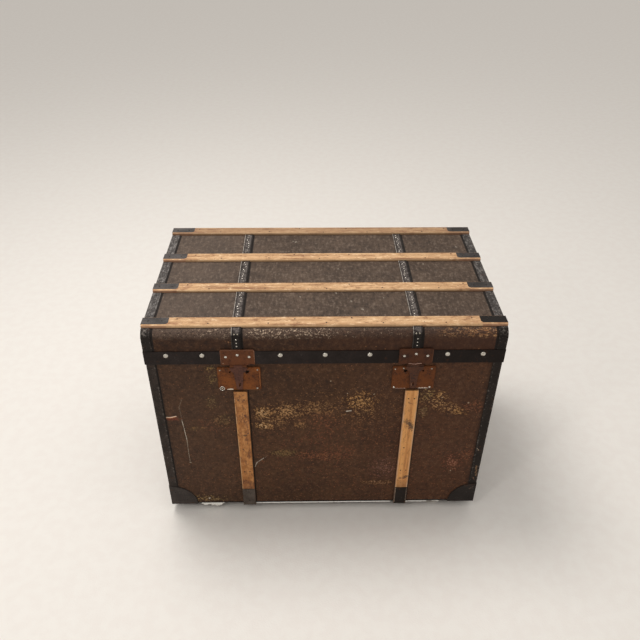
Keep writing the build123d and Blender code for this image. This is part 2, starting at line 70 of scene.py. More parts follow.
def shade(red: int, green: int, blue: int) -> Shade:
    """Turn a screen colour into the linear colour that shader sockets take.

    Args:
        red: Red, 0 to 255.
        green: Green, 0 to 255.
        blue: Blue, 0 to 255.

    Returns:
        The linear colour with full opacity.
    """
    linear = [
        level / 255 / 12.92 if level <= 10 else ((level / 255 + 0.055) / 1.055) ** 2.4
        for level in (red, green, blue)
    ]
    return (linear[0], linear[1], linear[2], 1.0)


@dataclass(frozen=True)
class TrunkSizes:
    """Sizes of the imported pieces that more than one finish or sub-assembly needs."""

    bottom: float = 0.028
    body_face: float = 0.241
    body_end: float = 0.399
    lid_face: float = 0.2423
    lid_end: float = 0.4003
    lid_top: float = 0.593
    edge_round: float = 0.02
    band_face: float = 0.2443
    band_end: float = 0.4023
    dome_height: float = 0.5307
    slat_top: float = 0.6
    slat_face: float = 0.248
    slat_half: float = 0.016
    sheet: float = 0.0009
    lock_offset: float = 0.1985
    locks_to_right: float = 0.004


TRUNK = TrunkSizes()


class Side(Enum):
    """The trunk's two hands, as seen from its front."""

    LEFT = -1
    RIGHT = 1

    @property
    def word(self) -> str:
        """The hand's name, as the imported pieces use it."""
        return self.name.lower()

    @property
    def middle(self) -> float:
        """The place along the trunk of this side's lock, slats, strap and hinge."""
        return self.value * TRUNK.lock_offset + TRUNK.locks_to_right


class Body(Enum):
    """The bodies that added pieces ride on."""

    CARCASS = "carcass"
    LID = "lid"


class Slot(Enum):
    """Names of material slots, which some finishes carry as a class value; nothing in this script reads
    them.
    """

    CANVAS = "trunk_canvas"
    NAILS = "nail_steel"
    BLACK = "black_iron"


class Face(Enum):
    """The flat on which a mark is drawn: the two axes that run across it."""

    FRONT = (0, 2)
    TOP = (0, 1)


# Shader arithmetic


class Value:
    """A number or colour on its way between shader nodes, with Python's arithmetic.

    Each operator adds its Math node to the tree that the value belongs to.
    """

    def __init__(self, nodes: Nodes, socket: bpy.types.NodeSocket) -> None:
        """Keep the nodes and the output socket that carry the value."""
        self.nodes = nodes
        self.socket = socket

    def _math(self, operation: str, first: Operand, second: Operand = 0.0) -> Value:
        """Add one Math node for two operands and give its result."""
        return self.nodes.node("ShaderNodeMath", {"operation": operation}, {0: first, 1: second})

    def __add__(self, other: Operand) -> Value:
        """Add."""
        return self._math("ADD", self, other)

    def __radd__(self, other: Operand) -> Value:
        """Add, with the plain number first."""
        return self._math("ADD", other, self)

    def __sub__(self, other: Operand) -> Value:
        """Subtract."""
        return self._math("SUBTRACT", self, other)

    def __rsub__(self, other: Operand) -> Value:
        """Subtract this value from a plain number."""
        return self._math("SUBTRACT", other, self)

    def __mul__(self, other: Operand) -> Value:
        """Multiply."""
        return self._math("MULTIPLY", self, other)

    def __rmul__(self, other: Operand) -> Value:
        """Multiply, with the plain number first."""
        return self._math("MULTIPLY", other, self)

    def __truediv__(self, other: Operand) -> Value:
        """Divide."""
        return self._math("DIVIDE", self, other)

    def __rtruediv__(self, other: Operand) -> Value:
        """Divide a plain number by this value."""
        return self._math("DIVIDE", other, self)

    def __abs__(self) -> Value:
        """Drop the sign."""
        return self._math("ABSOLUTE", self)

    def sine(self) -> Value:
        """The sine of an angle in radians."""
        return self._math("SINE", self)

    def least(self, other: Operand) -> Value:
        """The smaller of the two."""
        return self._math("MINIMUM", self, other)

    def most(self, other: Operand) -> Value:
        """The larger of the two."""
        return self._math("MAXIMUM", self, other)

    def within(self, low: float, high: float) -> Value:
        """Rise smoothly from 0 at low to 1 at high, or fall where low is the larger."""
        settings = {"interpolation_type": "SMOOTHSTEP"}
        return self.nodes.node("ShaderNodeMapRange", settings, {0: self, 1: low, 2: high})


Operand = Value | float
Input = Value | float | Sequence[float]
Coat = tuple[Input, Operand]


class Nodes:
    """A node tree that is filled from its first node to its output."""

    def __init__(self, tree: bpy.types.NodeTree) -> None:
        """Empty the tree."""
        tree.nodes.clear()
        self.tree = tree

    def node(
        self,
        kind: str,
        settings: Mapping[str, object] | None = None,
        sockets: Mapping[str | int, Input] | None = None,
        output: str | int = 0,
    ) -> Value:
        """Add any node.

        Args:
            kind: The node's type.
            settings: Its settings, which are made before its sockets are filled.
            sockets: The value or the link of each socket that isn't left as it is.
            output: The output that is wanted.

        Returns:
            That output, or the first input of a node that has no output.
        """
        made = self.tree.nodes.new(kind)
        for setting, choice in (settings or {}).items():
            setattr(made, setting, choice)
        for key, given in (sockets or {}).items():
            if isinstance(given, Value):
                self.tree.links.new(given.socket, made.inputs[key])
            else:
                made.inputs[key].default_value = given
        return Value(self, made.outputs[output] if len(made.outputs) else made.inputs[0])


class Recipe(Nodes):
    """The nodes of one material, from the place on the piece to its surface."""

    def __init__(self, name: str) -> None:
        """Start an empty material and give it the piece's own coordinates.

        Args:
            name: The material's name.
        """
        self.material = bpy.data.materials.new(name)
        self.material.use_nodes = True
        super().__init__(self.material.node_tree)
        self.place = self.node("ShaderNodeTexCoord", output="Object")
        self.axes = tuple(
            self.node("ShaderNodeSeparateXYZ", sockets={0: self.place}, output=axis) for axis in range(3)
        )

    def vector(self, operation: str, first: Input, second: Input, output: int = 0) -> Value:
        """Add a Vector Math node, whose output 0 is a vector and 1 a number."""
        settings = {"operation": operation}
        return self.node("ShaderNodeVectorMath", settings, {0: first, 1: second}, output)

    def coated(self, colour: Input, *coats: Coat) -> Value:
        """Lay coats over a colour, one after the other.

        Args:
            colour: The colour under them.
            *coats: Each coat's colour, and how much of it shows.

        Returns:
            The colour on top.
        """
        for coat, amount in coats:
            sockets = {0: amount, 6: colour, 7: coat}
            colour = self.node("ShaderNodeMix", {"data_type": "RGBA"}, sockets, output=2)
        return colour

    def scaled(self, size: float, stretch: Point = (1.0, 1.0, 1.0), shift: float = 0.0) -> Value:
        """The place counted in blobs of a given size.

        Args:
            size: The blobs' size in metres.
            stretch: A share for each axis, below 1 where the blobs are long.
            shift: Moves the pattern, so that two patterns of one size differ.

        Returns:
            The scaled place.
        """
        settings = {"operation": "MULTIPLY_ADD"}
        factors = tuple(share / size for share in stretch)
        return self.node("ShaderNodeVectorMath", settings, {0: self.place, 1: factors, 2: (shift,) * 3})

    def noise(
        self,
        size: float,
        detail: float = 2.0,
        roughness: float = 0.5,
        stretch: Point = (1.0, 1.0, 1.0),
        shift: float = 0.0,
    ) -> Value:
        """A smooth noise from 0 to 1.

        Args:
            size: The size of its largest blobs in metres.
            detail: How many finer layers it has.
            roughness: How strong those are.
            stretch: A share for each axis, below 1 where the blobs are long.
            shift: Moves the pattern.

        Returns:
            The noise.
        """
        place = self.scaled(size, stretch, shift)
        sockets = {"Vector": place, "Scale": 1.0, "Detail": detail, "Roughness": roughness}
        return self.node("ShaderNodeTexNoise", sockets=sockets)

    def specks(self, spacing: float, radius: float, share: float, shift: float = 0.0) -> Value:
        """Round specks that are scattered without order.

        Args:
            spacing: The usual distance between their places in metres.
            radius: A speck's radius in metres.
            share: The share of the places that hold a speck.
            shift: Moves the pattern.

        Returns:
            1 on a speck and 0 elsewhere.
        """
        sockets = {"Vector": self.scaled(spacing, shift=shift), "Scale": 1.0}
        distance = self.node("ShaderNodeTexVoronoi", sockets=sockets)
        colour = self.node("ShaderNodeTexVoronoi", sockets=sockets, output="Color")
        chance = self.node("ShaderNodeSeparateColor", sockets={0: colour})
        near = distance.within(radius / spacing, 0.6 * radius / spacing)
        return near * chance.within(1.0 - share, 1.02 - share)

    def weave(self, pitch: float) -> Value:
        """Threads woven at a pitch in metres, on any flat of the piece, from -1 to 1."""
        x, y, z = ((axis * (2 * math.pi / pitch)).sine() for axis in self.axes)
        return (x + y + z) / 3.0

    def far_from(self, flat: Value, start: Spot, stop: Spot) -> Value:
        """The distance in metres from a straight mark on a face.

        Args:
            flat: The place on the face.
            start: One end of the mark.
            stop: Its other end, which may be the same place.

        Returns:
            The distance.
        """
        from_start = self.vector("SUBTRACT", flat, (*start, 0.0))
        run = Vector((stop[0] - start[0], stop[1] - start[1], 0.0))
        if run.length_squared == 0:
            return self.vector("LENGTH", from_start, (0.0, 0.0, 0.0), output=1)
        along = self.vector("DOT_PRODUCT", from_start, tuple(run / run.length_squared), output=1)
        sockets = {0: tuple(run), "Scale": along.most(0.0).least(1.0)}
        nearest = self.node("ShaderNodeVectorMath", {"operation": "SCALE"}, sockets)
        return self.vector("DISTANCE", from_start, nearest, output=1)

    def marked(self, colour: Input, face: Face, marks: Iterable[Stroke], wander: Value) -> Input:
        """Draw marks over a colour, on one face.

        Args:
            colour: The colour under them.
            face: The face that they are drawn on.
            marks: The marks.
            wander: The noise that makes their edges uneven.

        Returns:
            The colour with the marks on it.
        """
        across, up = (self.axes[axis] for axis in face.value)
        flat = self.node("ShaderNodeCombineXYZ", sockets={0: across, 1: up})
        for mark in marks:
            colour = mark.over(self, colour, flat, wander)
        return colour

    def surface(
        self,
        colour: Input,
        roughness: Operand,
        relief: Value,
        depth: float,
        **fixed: float,
    ) -> bpy.types.Material:
        """Finish the material.

        Args:
            colour: Its colour.
            roughness: Its roughness.
            relief: The height of its surface, in shares of the depth.
            depth: The depth of the relief in metres.
            **fixed: Other sockets of the shader that are the same all over.

        Returns:
            The finished material.
        """
        normal = self.node("ShaderNodeBump", sockets={"Distance": depth, "Height": relief})
        sockets = {"Base Color": colour, "Roughness": roughness, "Normal": normal}
        sockets |= {name.replace("_", " ").title().replace("Ior", "IOR"): v for name, v in fixed.items()}
        shader = self.node("ShaderNodeBsdfPrincipled", sockets=sockets)
        self.node("ShaderNodeOutputMaterial", sockets={"Surface": shader})
        return self.material


# Marks of wear


@dataclass(frozen=True)
class Scuff:
    """A patch of flecks on the front: where it lies and how much of it is worn."""

    middle: Spot
    reach: Spot
    cover: float
    colour: Shade
    strength: float = 1.0
    tilt: float = 0.0
    core: Shade = shade(232, 186, 128)
    gap: Shade = shade(56, 31, 13)
    gappy: float = 0.2

    def over(self, recipe: Recipe, colour: Input, flecks: Value) -> Value:
        """Lay the patch over a colour.

        Args:
            recipe: The recipe that it goes into.
            colour: The colour under it.
            flecks: The noise that its flecks follow.

        Returns:
            The colour with the patch on it.
        """
        lean = math.radians(self.tilt)
        x, z = recipe.axes[0] - self.middle[0], recipe.axes[2] - self.middle[1]
        across = (x * math.cos(lean) + z * math.sin(lean)) / self.reach[0]
        up = (z * math.cos(lean) - x * math.sin(lean)) / self.reach[1]
        inside = (1.0 - (across * across + up * up)).most(-1.0)
        level = flecks + inside * self.cover
        coats = [
            (self.colour, level.within(0.66, 0.8) * (0.7 * self.strength)),
            (self.core, level.within(0.82, 0.9) * (0.8 * self.strength)),
        ]
        if self.cover >= self.gappy:
            near = inside.within(0.0, 0.5) * level.within(0.6, 0.46)
            coats.insert(0, (self.gap, near * 0.55))
        return recipe.coated(colour, *coats)


@dataclass(frozen=True)
class Stroke:
    """A scratch or a dot: the points that it runs through, its width and its colour."""

    points: tuple[Spot, ...]
    width: float
    colour: Shade
    strength: float = 1.0
    broken: float = 0.0

    def over(self, recipe: Recipe, colour: Input, flat: Value, wander: Value) -> Value:
        """Lay the stroke over a colour.

        Args:
            recipe: The recipe that it goes into.
            colour: The colour under it.
            flat: The place on the face that it is drawn on.
            wander: The noise that makes its edges uneven.

        Returns:
            The colour with the stroke on it.
        """
        ends = self.points[1:] or self.points
        distance, *others = (recipe.far_from(flat, *run) for run in zip(self.points, ends))
        for other in others:
            distance = distance.least(other)
        uneven = distance + (wander - 0.5) * (self.width * (1.0 + 4.0 * self.broken))
        worn = uneven.within(self.width * 0.5, self.width * 0.25)
        return recipe.coated(colour, (self.colour, worn * self.strength))


# Finishes


@dataclass(frozen=True)
class Finish:
    """A finish, which the workshop mixes once under its name."""

    name: str
    slot: ClassVar[Slot]

    def material(self) -> bpy.types.Material:
        """Mix the finish."""
        raise NotImplementedError(self.name)


@dataclass(frozen=True)
class BodyCanvas(Finish):
    """Painted canvas on the body: dark brown, with the front's own scuffs and scratches."""

    name: str = "body_canvas_paint"
    deep: Shade = shade(62, 39, 23)
    brown: Shade = shade(80, 53, 33)
    red_brown: Shade = shade(82, 47, 28)
    grey_brown: Shade = shade(74, 54, 42)
    light: Shade = shade(100, 71, 50)
    dark: Shade = shade(40, 26, 18)
    grime: Shade = shade(30, 20, 15)
    black: Shade = shade(14, 10, 9)
    ochre: Shade = shade(186, 136, 78)
    tan: Shade = shade(146, 106, 66)
    pale: Shade = shade(214, 202, 184)
    speck: Shade = shade(196, 174, 146)
    front_plane: float = -0.2405
    binding_edge: float = 0.379
    below_lock: float = 0.425
    slat_shadow: float = 0.0042
    crisp: float = 0.0004
    small_dot: float = 0.0042

    def scuffs(self) -> list[Scuff]:
        """The worn patches of the front, from left to right.

        Returns:
            The patches.
        """
        rust = shade(124, 68, 46)
        olive = shade(118, 102, 60)
        plum = shade(112, 80, 76)
        rose = shade(170, 124, 100)
        gold = shade(255, 222, 176)
        ochre, tan = self.ochre, self.tan
        return [
            Scuff((-0.362, 0.336), (0.026, 0.01), 0.22, rust, 0.9, core=rust),
            Scuff((-0.258, 0.49), (0.016, 0.014), 0.24, olive, 0.8, core=ochre),
            Scuff((-0.255, 0.458), (0.016, 0.024), 0.19, olive, 0.8, core=ochre),
            Scuff((-0.265, 0.39), (0.016, 0.026), 0.17, olive, 0.7, core=rose),
            Scuff((-0.244, 0.328), (0.036, 0.024), 0.2, olive, 0.8, core=rose),
            Scuff((-0.304, 0.303), (0.03, 0.01), 0.19, olive, 0.7, core=ochre),
            Scuff((-0.27, 0.316), (0.06, 0.03), 0.1, rust, 0.8, core=rose),
            Scuff((-0.1429, 0.353), (0.03, 0.024), 0.29, ochre, 1.2, core=gold),
            Scuff((-0.1447, 0.311), (0.03, 0.016), 0.29, ochre, 1.2, core=gold),
            Scuff((-0.122, 0.336), (0.056, 0.046), 0.2, tan),
            Scuff((-0.085, 0.356), (0.06, 0.034), 0.23, tan),
            Scuff((-0.022, 0.366), (0.058, 0.028), 0.21, tan, 0.9),
            Scuff((-0.056, 0.31), (0.024, 0.018), 0.22, tan, 0.9),
            Scuff((-0.004, 0.328), (0.052, 0.03), 0.18, rust, 0.9, core=ochre),
            Scuff((0.04, 0.352), (0.15, 0.08), 0.09, tan, 0.8),
            Scuff((-0.026, 0.262), (0.05, 0.02), 0.14, rust, 0.8, core=tan),
            Scuff((-0.1, 0.215), (0.046, 0.016), 0.28, olive, 0.8, core=tan),
            Scuff((-0.006, 0.205), (0.08, 0.022), 0.25, rust, 0.9, core=tan),
            Scuff((0.04, 0.222), (0.06, 0.022), 0.17, rust, 0.9, core=tan),
            Scuff((0.084, 0.386), (0.046, 0.036), 0.21, ochre, 0.85),
            Scuff((0.096, 0.352), (0.036, 0.022), 0.2, tan, 0.8),
            Scuff((0.018, 0.3), (0.06, 0.04), 0.12, rust, 0.8, core=tan),
            Scuff((0.155, 0.158), (0.044, 0.05), 0.18, plum, 0.9, core=rose),
            Scuff((0.24, 0.404), (0.024, 0.026), 0.23, olive, 0.9),
            Scuff((0.272, 0.402), (0.024, 0.018), 0.24, ochre, 0.8),
            Scuff((0.28, 0.372), (0.074, 0.024), 0.2, tan, 0.9, -26.0),
            Scuff((0.324, 0.352), (0.026, 0.014), 0.22, ochre, 0.8),
            Scuff((0.352, 0.368), (0.03, 0.022), 0.21, rust, 0.9, core=tan),
            Scuff((0.235, 0.352), (0.016, 0.022), 0.22, olive, 0.8, core=rose),
            Scuff((0.326, 0.176), (0.03, 0.044), 0.22, rust, 0.95, core=rose),
            Scuff((0.36, 0.2), (0.03, 0.026), 0.18, rust, 0.9, core=tan),
            Scuff((-0.306, 0.045), (0.074, 0.018), 0.2, olive, 0.8),
            Scuff((0.06, 0.18), (0.36, 0.17), 0.06, rust, 0.8, core=tan),
            Scuff((0.142, 0.102), (0.052, 0.012), 0.24, tan, 0.85, core=rose),
        ]

    def strokes(self) -> list[Stroke]:
        """The dots and scratches of the front.

        Returns:
            The marks.
        """
        grey, pale = shade(150, 136, 118), self.pale
        dots = (
            (0.053, 0.412, 0.0044),
            (0.0783, 0.4129, 0.0036),
            (0.1156, 0.4093, 0.0052),
            (0.3405, 0.3799, 0.0062),
            (0.2766, 0.3968, 0.0048),
            (0.0139, 0.4507, 0.005),
            (0.0418, 0.4446, 0.0036),
            (0.3657, 0.4434, 0.004),
            (0.1065, 0.1058, 0.004),
            (0.1319, 0.1068, 0.0044),
            (0.1454, 0.1561, 0.004),
            (0.3265, 0.1435, 0.0046),
            (0.3831, 0.2232, 0.004),
        )
        marks = [
            Stroke(((x, z),), size * 0.8, self.tan if size < self.small_dot else self.speck, 0.8)
            for x, z, size in dots
        ]
        return marks + [
            Stroke(((-0.379, 0.3345), (-0.352, 0.336)), 0.007, shade(112, 52, 32), 0.75, 0.4),
            Stroke(((-0.3785, 0.3392), (-0.366, 0.3388), (-0.3535, 0.3425)), 0.004, shade(206, 138, 92)),
            Stroke(((-0.3785, 0.3412), (-0.366, 0.3402), (-0.3525, 0.344)), 0.0026, shade(240, 222, 200)),
            Stroke(((-0.3325, 0.399), (-0.342, 0.373), (-0.34, 0.338)), 0.0018, grey, 0.3, 1.0),
            Stroke(((-0.3405, 0.332), (-0.337, 0.285), (-0.3357, 0.262)), 0.0017, pale, 0.75, 0.25),
            Stroke(((-0.3357, 0.262), (-0.3366, 0.215), (-0.3358, 0.19)), 0.0018, grey, 0.85, 0.4),
            Stroke(((-0.3356, 0.184),), 0.0056, grey, 0.9),
            Stroke(((-0.174, 0.166), (-0.1686, 0.1815), (-0.1511, 0.1968)), 0.0019, pale, 0.75, 0.2),
            Stroke(((-0.148, 0.1995), (-0.1417, 0.2055)), 0.0018, grey, 0.55, 0.8),
            Stroke(((0.053, 0.3556), (0.063, 0.3575)), 0.004, pale, 0.9),
            Stroke(((-0.3, 0.046),), 0.0064, pale, 0.85),
        ]

    def material(self) -> bpy.types.Material:
        """Mix the finish.

        Returns:
            The finished material.
        """
        recipe = Recipe(self.name)
        x, y, z = recipe.axes
        broad = recipe.noise(0.16, 3.0)
        patch = recipe.noise(0.028, 4.0, 0.6, shift=5.0)
        flecks = recipe.noise(0.0042, 2.0, 0.75, shift=11.0) * 1.56 - 0.28
        grit = recipe.noise(0.0026, 2.0, 0.7, shift=17.0)
        mottle = recipe.noise(0.0085, 2.0, 0.8, shift=31.0)
        front = y.within(self.front_plane + 0.0003, self.front_plane - 0.0003)
        colour = recipe.coated(
            self.deep,
            (self.brown, (broad * 0.45 + patch * 0.4 + grit * 0.15).within(0.38, 0.62)),
            (self.red_brown, x.within(-0.05, 0.3) * front * 0.4),
            (self.grey_brown, x.within(-0.1, -0.34) * front * 0.35),
            (self.light, mottle.within(0.5, 0.7) * 0.62),
            (self.dark, mottle.within(0.47, 0.3) * 0.6),
        )
        worn = colour
        for scuff in self.scuffs():
            worn = scuff.over(recipe, worn, flecks)
        worn = recipe.marked(worn, Face.FRONT, self.strokes(), grit)
        crisp, shadow = self.crisp, self.slat_shadow
        below_lock = z.within(self.below_lock + 0.001, self.below_lock - 0.001)
        for side in Side:
            past = x - (side.middle + TRUNK.slat_half)
            before = (side.middle - TRUNK.slat_half) - x
            beside = past.within(-crisp, crisp) * past.within(shadow, shadow * 0.5)
            beside = beside.most(before.within(-crisp, crisp) * before.within(0.002, 0.0012) * 0.6)
            worn = recipe.coated(worn, (self.black, beside * below_lock * 0.85))
        low = z.within(TRUNK.bottom + 0.022, TRUNK.bottom + 0.002)
        line = abs(x).within(self.binding_edge - 0.003, self.binding_edge - 0.0018)
        hem = z.within(TRUNK.bottom + 0.005, TRUNK.bottom + 0.0034)
        colour = recipe.coated(
            colour,
            (worn, front),
            (self.tan, (flecks + low * 0.1).within(0.74, 0.86) * 0.35),
            (self.tan, recipe.specks(0.016, 0.0016, 0.1, 23.0) * 0.55),
            # Painted shade: the front canvas darkens towards each end binding's inner edge.
            (self.grime, abs(x).within(self.binding_edge - 0.009, self.binding_edge) * front * 0.55),
            # Painted shadow: a black line on the canvas along the left binding's inner edge; the same coat
            # also darkens a band along the canvas's lower edge.
            (self.black, (line * x.within(0.3, -0.3)).most(hem) * front * 0.9),
        )
        relief = recipe.weave(0.0016) * 0.35 + patch * 1.1 + flecks * 0.9
        return recipe.surface(colour, 0.62 + patch * 0.22, relief, 0.0006, specular_ior_level=0.25)


@dataclass(frozen=True)
class LidCanvas(Finish):
    """The lid's canvas: faded grey on top, brown below, cracked and rubbed along its round edges."""

    name: str = "lid_canvas_paint"
    faded: Shade = shade(87, 71, 59)
    faded_deep: Shade = shade(64, 51, 42)
    faded_light: Shade = shade(116, 100, 87)
    faded_dark: Shade = shade(50, 40, 34)
    brown: Shade = shade(68, 43, 27)
    deep: Shade = shade(52, 32, 21)
    cracked: Shade = shade(106, 88, 76)
    bare: Shade = shade(210, 184, 156)
    ochre: Shade = shade(150, 104, 66)
    shadow: Shade = shade(20, 15, 13)
    speck: Shade = shade(150, 140, 126)
    binding_edge: float = 0.3803
    strap_edge: float = 0.01075
    crisp: float = 0.0004
    round_low: float = 0.573
    round_high: float = 0.5925

    def dots(self) -> list[Stroke]:
        """The pale specks on the top.

        Returns:
            The specks.
        """
        places = (
            (-0.0684, 0.157, 0.006),
            (-0.076, 0.16, 0.004),
            (0.3526, 0.1268, 0.0055),
            (0.253, 0.0406, 0.0055),
            (0.0852, -0.157, 0.0065),
            (0.062, -0.1243, 0.005),
            (0.0286, -0.0904, 0.0045),
            (0.0377, 0.0182, 0.005),
            (-0.056, -0.105, 0.004),
            (0.14, -0.112, 0.004),
        )
        return [Stroke(((x, y),), size, self.speck, 0.85, 0.6) for x, y, size in places]

    def blots(self) -> list[Stroke]:
        """The ochre specks on the front of the lid.

        Returns:
            The specks.
        """
        return [
            Stroke(((-0.212, 0.566),), 0.0058, shade(150, 106, 68), 0.7),
            Stroke(((-0.2062, 0.5642),), 0.0034, shade(132, 92, 60), 0.55),
            Stroke(((-0.2178, 0.5688),), 0.003, shade(126, 88, 58), 0.5),
            Stroke(((0.0896, 0.5519),), 0.0036, self.ochre, 0.6),
            Stroke(((0.1121, 0.5517),), 0.004, self.ochre, 0.7),
            Stroke(((0.1323, 0.5444),), 0.0036, self.ochre, 0.6),
        ]

    def material(self) -> bpy.types.Material:
        """Mix the finish.

        Returns:
            The finished material.
        """
        recipe = Recipe(self.name)
        x, _, z = recipe.axes
        broad = recipe.noise(0.12, 3.0, shift=2.0)
        patch = recipe.noise(0.024, 4.0, 0.62, shift=7.0)
        flecks = recipe.noise(0.0052, 4.0, 0.8, shift=13.0)
        grit = recipe.noise(0.0028, 2.0, 0.75, shift=19.0)
        mottle = recipe.noise(0.0085, 2.0, 0.8, shift=31.0)
        streaks = recipe.noise(0.0066, 2.0, 0.7, (1.0, 0.3, 1.0), 37.0)
        cloud = broad * 0.35 + patch * 0.35 + grit * 0.3
        uneven = mottle * 0.5 + streaks * 0.5
        top = recipe.coated(
            self.faded_deep,
            (self.faded, cloud.within(0.38, 0.62)),
            (self.faded_light, uneven.within(0.5, 0.64) * 0.6),
            (self.faded_dark, uneven.within(0.48, 0.36) * 0.75),
            (shade(108, 95, 86), x.within(-0.12, -0.3) * 0.2),
        )
        top = recipe.marked(top, Face.TOP, self.dots(), grit)
        skirt = recipe.coated(
            self.deep,
            (self.brown, cloud.within(0.38, 0.6)),
            (shade(92, 64, 44), mottle.within(0.5, 0.7) * 0.7),
            (shade(34, 21, 14), mottle.within(0.47, 0.3) * 0.7),
            (shade(72, 40, 26), x.within(-0.1, 0.3) * 0.4),
            (self.ochre, recipe.specks(0.018, 0.0018, 0.12, 29.0) * 0.6),
        )
        skirt = recipe.marked(skirt, Face.FRONT, self.blots(), grit)
        rounding = (z + patch * 0.016 - 0.004).within(self.round_low + 0.001, self.round_low + 0.015)
        rounding = rounding * z.within(self.round_high + 0.0006, self.round_high - 0.001)
        cracks = flecks * 0.5 + grit * 0.5
        rubbed = rounding * (x.within(0.235, 0.27) * 0.45 + x.within(0.3, 0.34) * 0.55)
        strokes = recipe.noise(0.006, 2.0, 0.8, (0.5, 1.0, 1.0), 47.0) * 0.6 + grit * 0.4
        chips = recipe.noise(0.005, 3.0, 0.8, (0.6, 1.0, 1.0), 43.0) * 0.6 + grit * 0.4
        bright = x.within(-0.182, -0.15) * x.within(0.04, -0.005)
        some = x.within(-0.3, -0.27) * x.within(-0.196, -0.21) * 0.45
        share = bright.most(some).most(x.within(0.26, 0.18) * 0.22)
        bare = (chips + share * 0.06).within(0.575, 0.655)
        edge = abs(x).within(self.binding_edge - 0.0054, self.binding_edge - 0.0044)
        colour = recipe.coated(
            skirt,
            (top, z.within(0.588, 0.5928)),
            (self.cracked, rounding * (0.2 + x.within(0.16, -0.28) * 0.4)),
            (shade(48, 35, 29), rounding * cracks.within(0.5, 0.42) * 0.85),
            (self.ochre, rubbed * strokes.within(0.48, 0.55) * 0.9),
            (shade(206, 170, 124), rubbed * strokes.within(0.56, 0.62) * 0.8),
            (self.bare, rounding * bare * (0.35 + share * 0.5)),
            (self.shadow, edge * 0.95),
        )
        for side in Side:
            gap = x - (side.middle + self.strap_edge)
            beside = gap.within(-self.crisp, self.crisp) * gap.within(0.0046, 0.0034)
            colour = recipe.coated(colour, (self.shadow, beside * 0.95))
        relief = recipe.weave(0.0016) * 0.35 + patch + flecks * (0.8 + rounding * 2.2)
        return recipe.surface(colour, 0.6 + patch * 0.24, relief, 0.0007, specular_ior_level=0.25)


class Grain(Enum):
    """The way that a wooden piece's grain runs: a share for each axis, small along the grain."""

    ALONG = (0.035, 1.0, 1.0)
    UP = (1.0, 1.0, 0.035)
    ACROSS = (1.0, 0.035, 1.0)


@dataclass(frozen=True)
class BareWood(Finish):
    """Unpainted wood with long grain, open pores and grey dirt."""

    grain: Grain
    light: Shade
    middle: Shade
    dark: Shade
    gloss: float = 0.35

    def base(self, recipe: Recipe) -> tuple[Value, Value]:
        """Mix the plain wood.

        Args:
            recipe: The recipe that it goes into.

        Returns:
            The wood's colour and its grain, from 0 to 1.
        """
        stretch = self.grain.value
        figure = recipe.noise(0.01, 4.0, 0.6, stretch, 3.0)
        pores = recipe.noise(0.0016, 2.0, 0.5, stretch, 9.0)
        wide = recipe.noise(0.05, 3.0, 0.55, tuple(0.4 + 0.6 * share for share in stretch), 15.0)
        colour = recipe.coated(
            self.middle,
            (self.light, figure.within(0.38, 0.62)),
            (self.dark, (figure * 0.6 + wide * 0.4).within(0.46, 0.34) * 0.8),
            (self.dark, pores.within(0.6, 0.72) * 0.5),
            (self.dark, recipe.specks(0.045, 0.0032, 0.16, 5.0) * 0.75),
        )
        return colour, figure * 0.6 + pores * 0.4

    def material(self) -> bpy.types.Material:
        """Mix the finish.

        Returns:
            The finished material.
        """
        recipe = Recipe(self.name)
        colour, lines = self.base(recipe)
        return recipe.surface(colour, 0.78 - lines * self.gloss * 0.4, lines, 0.0004)


@dataclass(frozen=True)
class TopSlatWood(BareWood):
    """The lid's slats: honey wood, darker along their lower edges, and stained beside their clips."""

    clip_start: float = 0.343

    def material(self) -> bpy.types.Material:
        """Mix the finish.

        Returns:
            The finished material.
        """
        recipe = Recipe(self.name)
        x, y, z = recipe.axes
        colour, lines = self.base(recipe)
        dirt = recipe.noise(0.007, 3.0, 0.85, (0.3, 1.0, 1.0), 25.0)
        stain = recipe.noise(0.03, 4.0, 0.6, shift=21.0)
        side_face = z.within(TRUNK.slat_top - 0.0003, TRUNK.slat_top - 0.001)
        under_clip = abs(x).within(self.clip_start, self.clip_start + 0.004)
        beside = abs(x).within(self.clip_start - 0.055, self.clip_start)
        colour = recipe.coated(
            colour,
            (shade(134, 92, 58), dirt.within(0.53, 0.66) * 0.85),
            (shade(234, 200, 158), dirt.within(0.45, 0.34) * 0.7),
            (shade(84, 54, 36), recipe.specks(0.017, 0.0019, 0.26, 33.0) * 0.8),
            (shade(232, 194, 148), side_face * 0.45),
            (shade(84, 46, 30), z.within(TRUNK.lid_top + 0.0022, TRUNK.lid_top + 0.0008) * 0.85),
            (shade(160, 114, 88), under_clip * side_face * 0.7),
            (shade(128, 78, 50), (stain + beside * 0.1).within(0.58, 0.74) * 0.5),
            (shade(112, 84, 62), y.within(0.13, 0.19) * 0.45),
        )
        return recipe.surface(colour, 0.76 - lines * 0.12, lines, 0.0004)


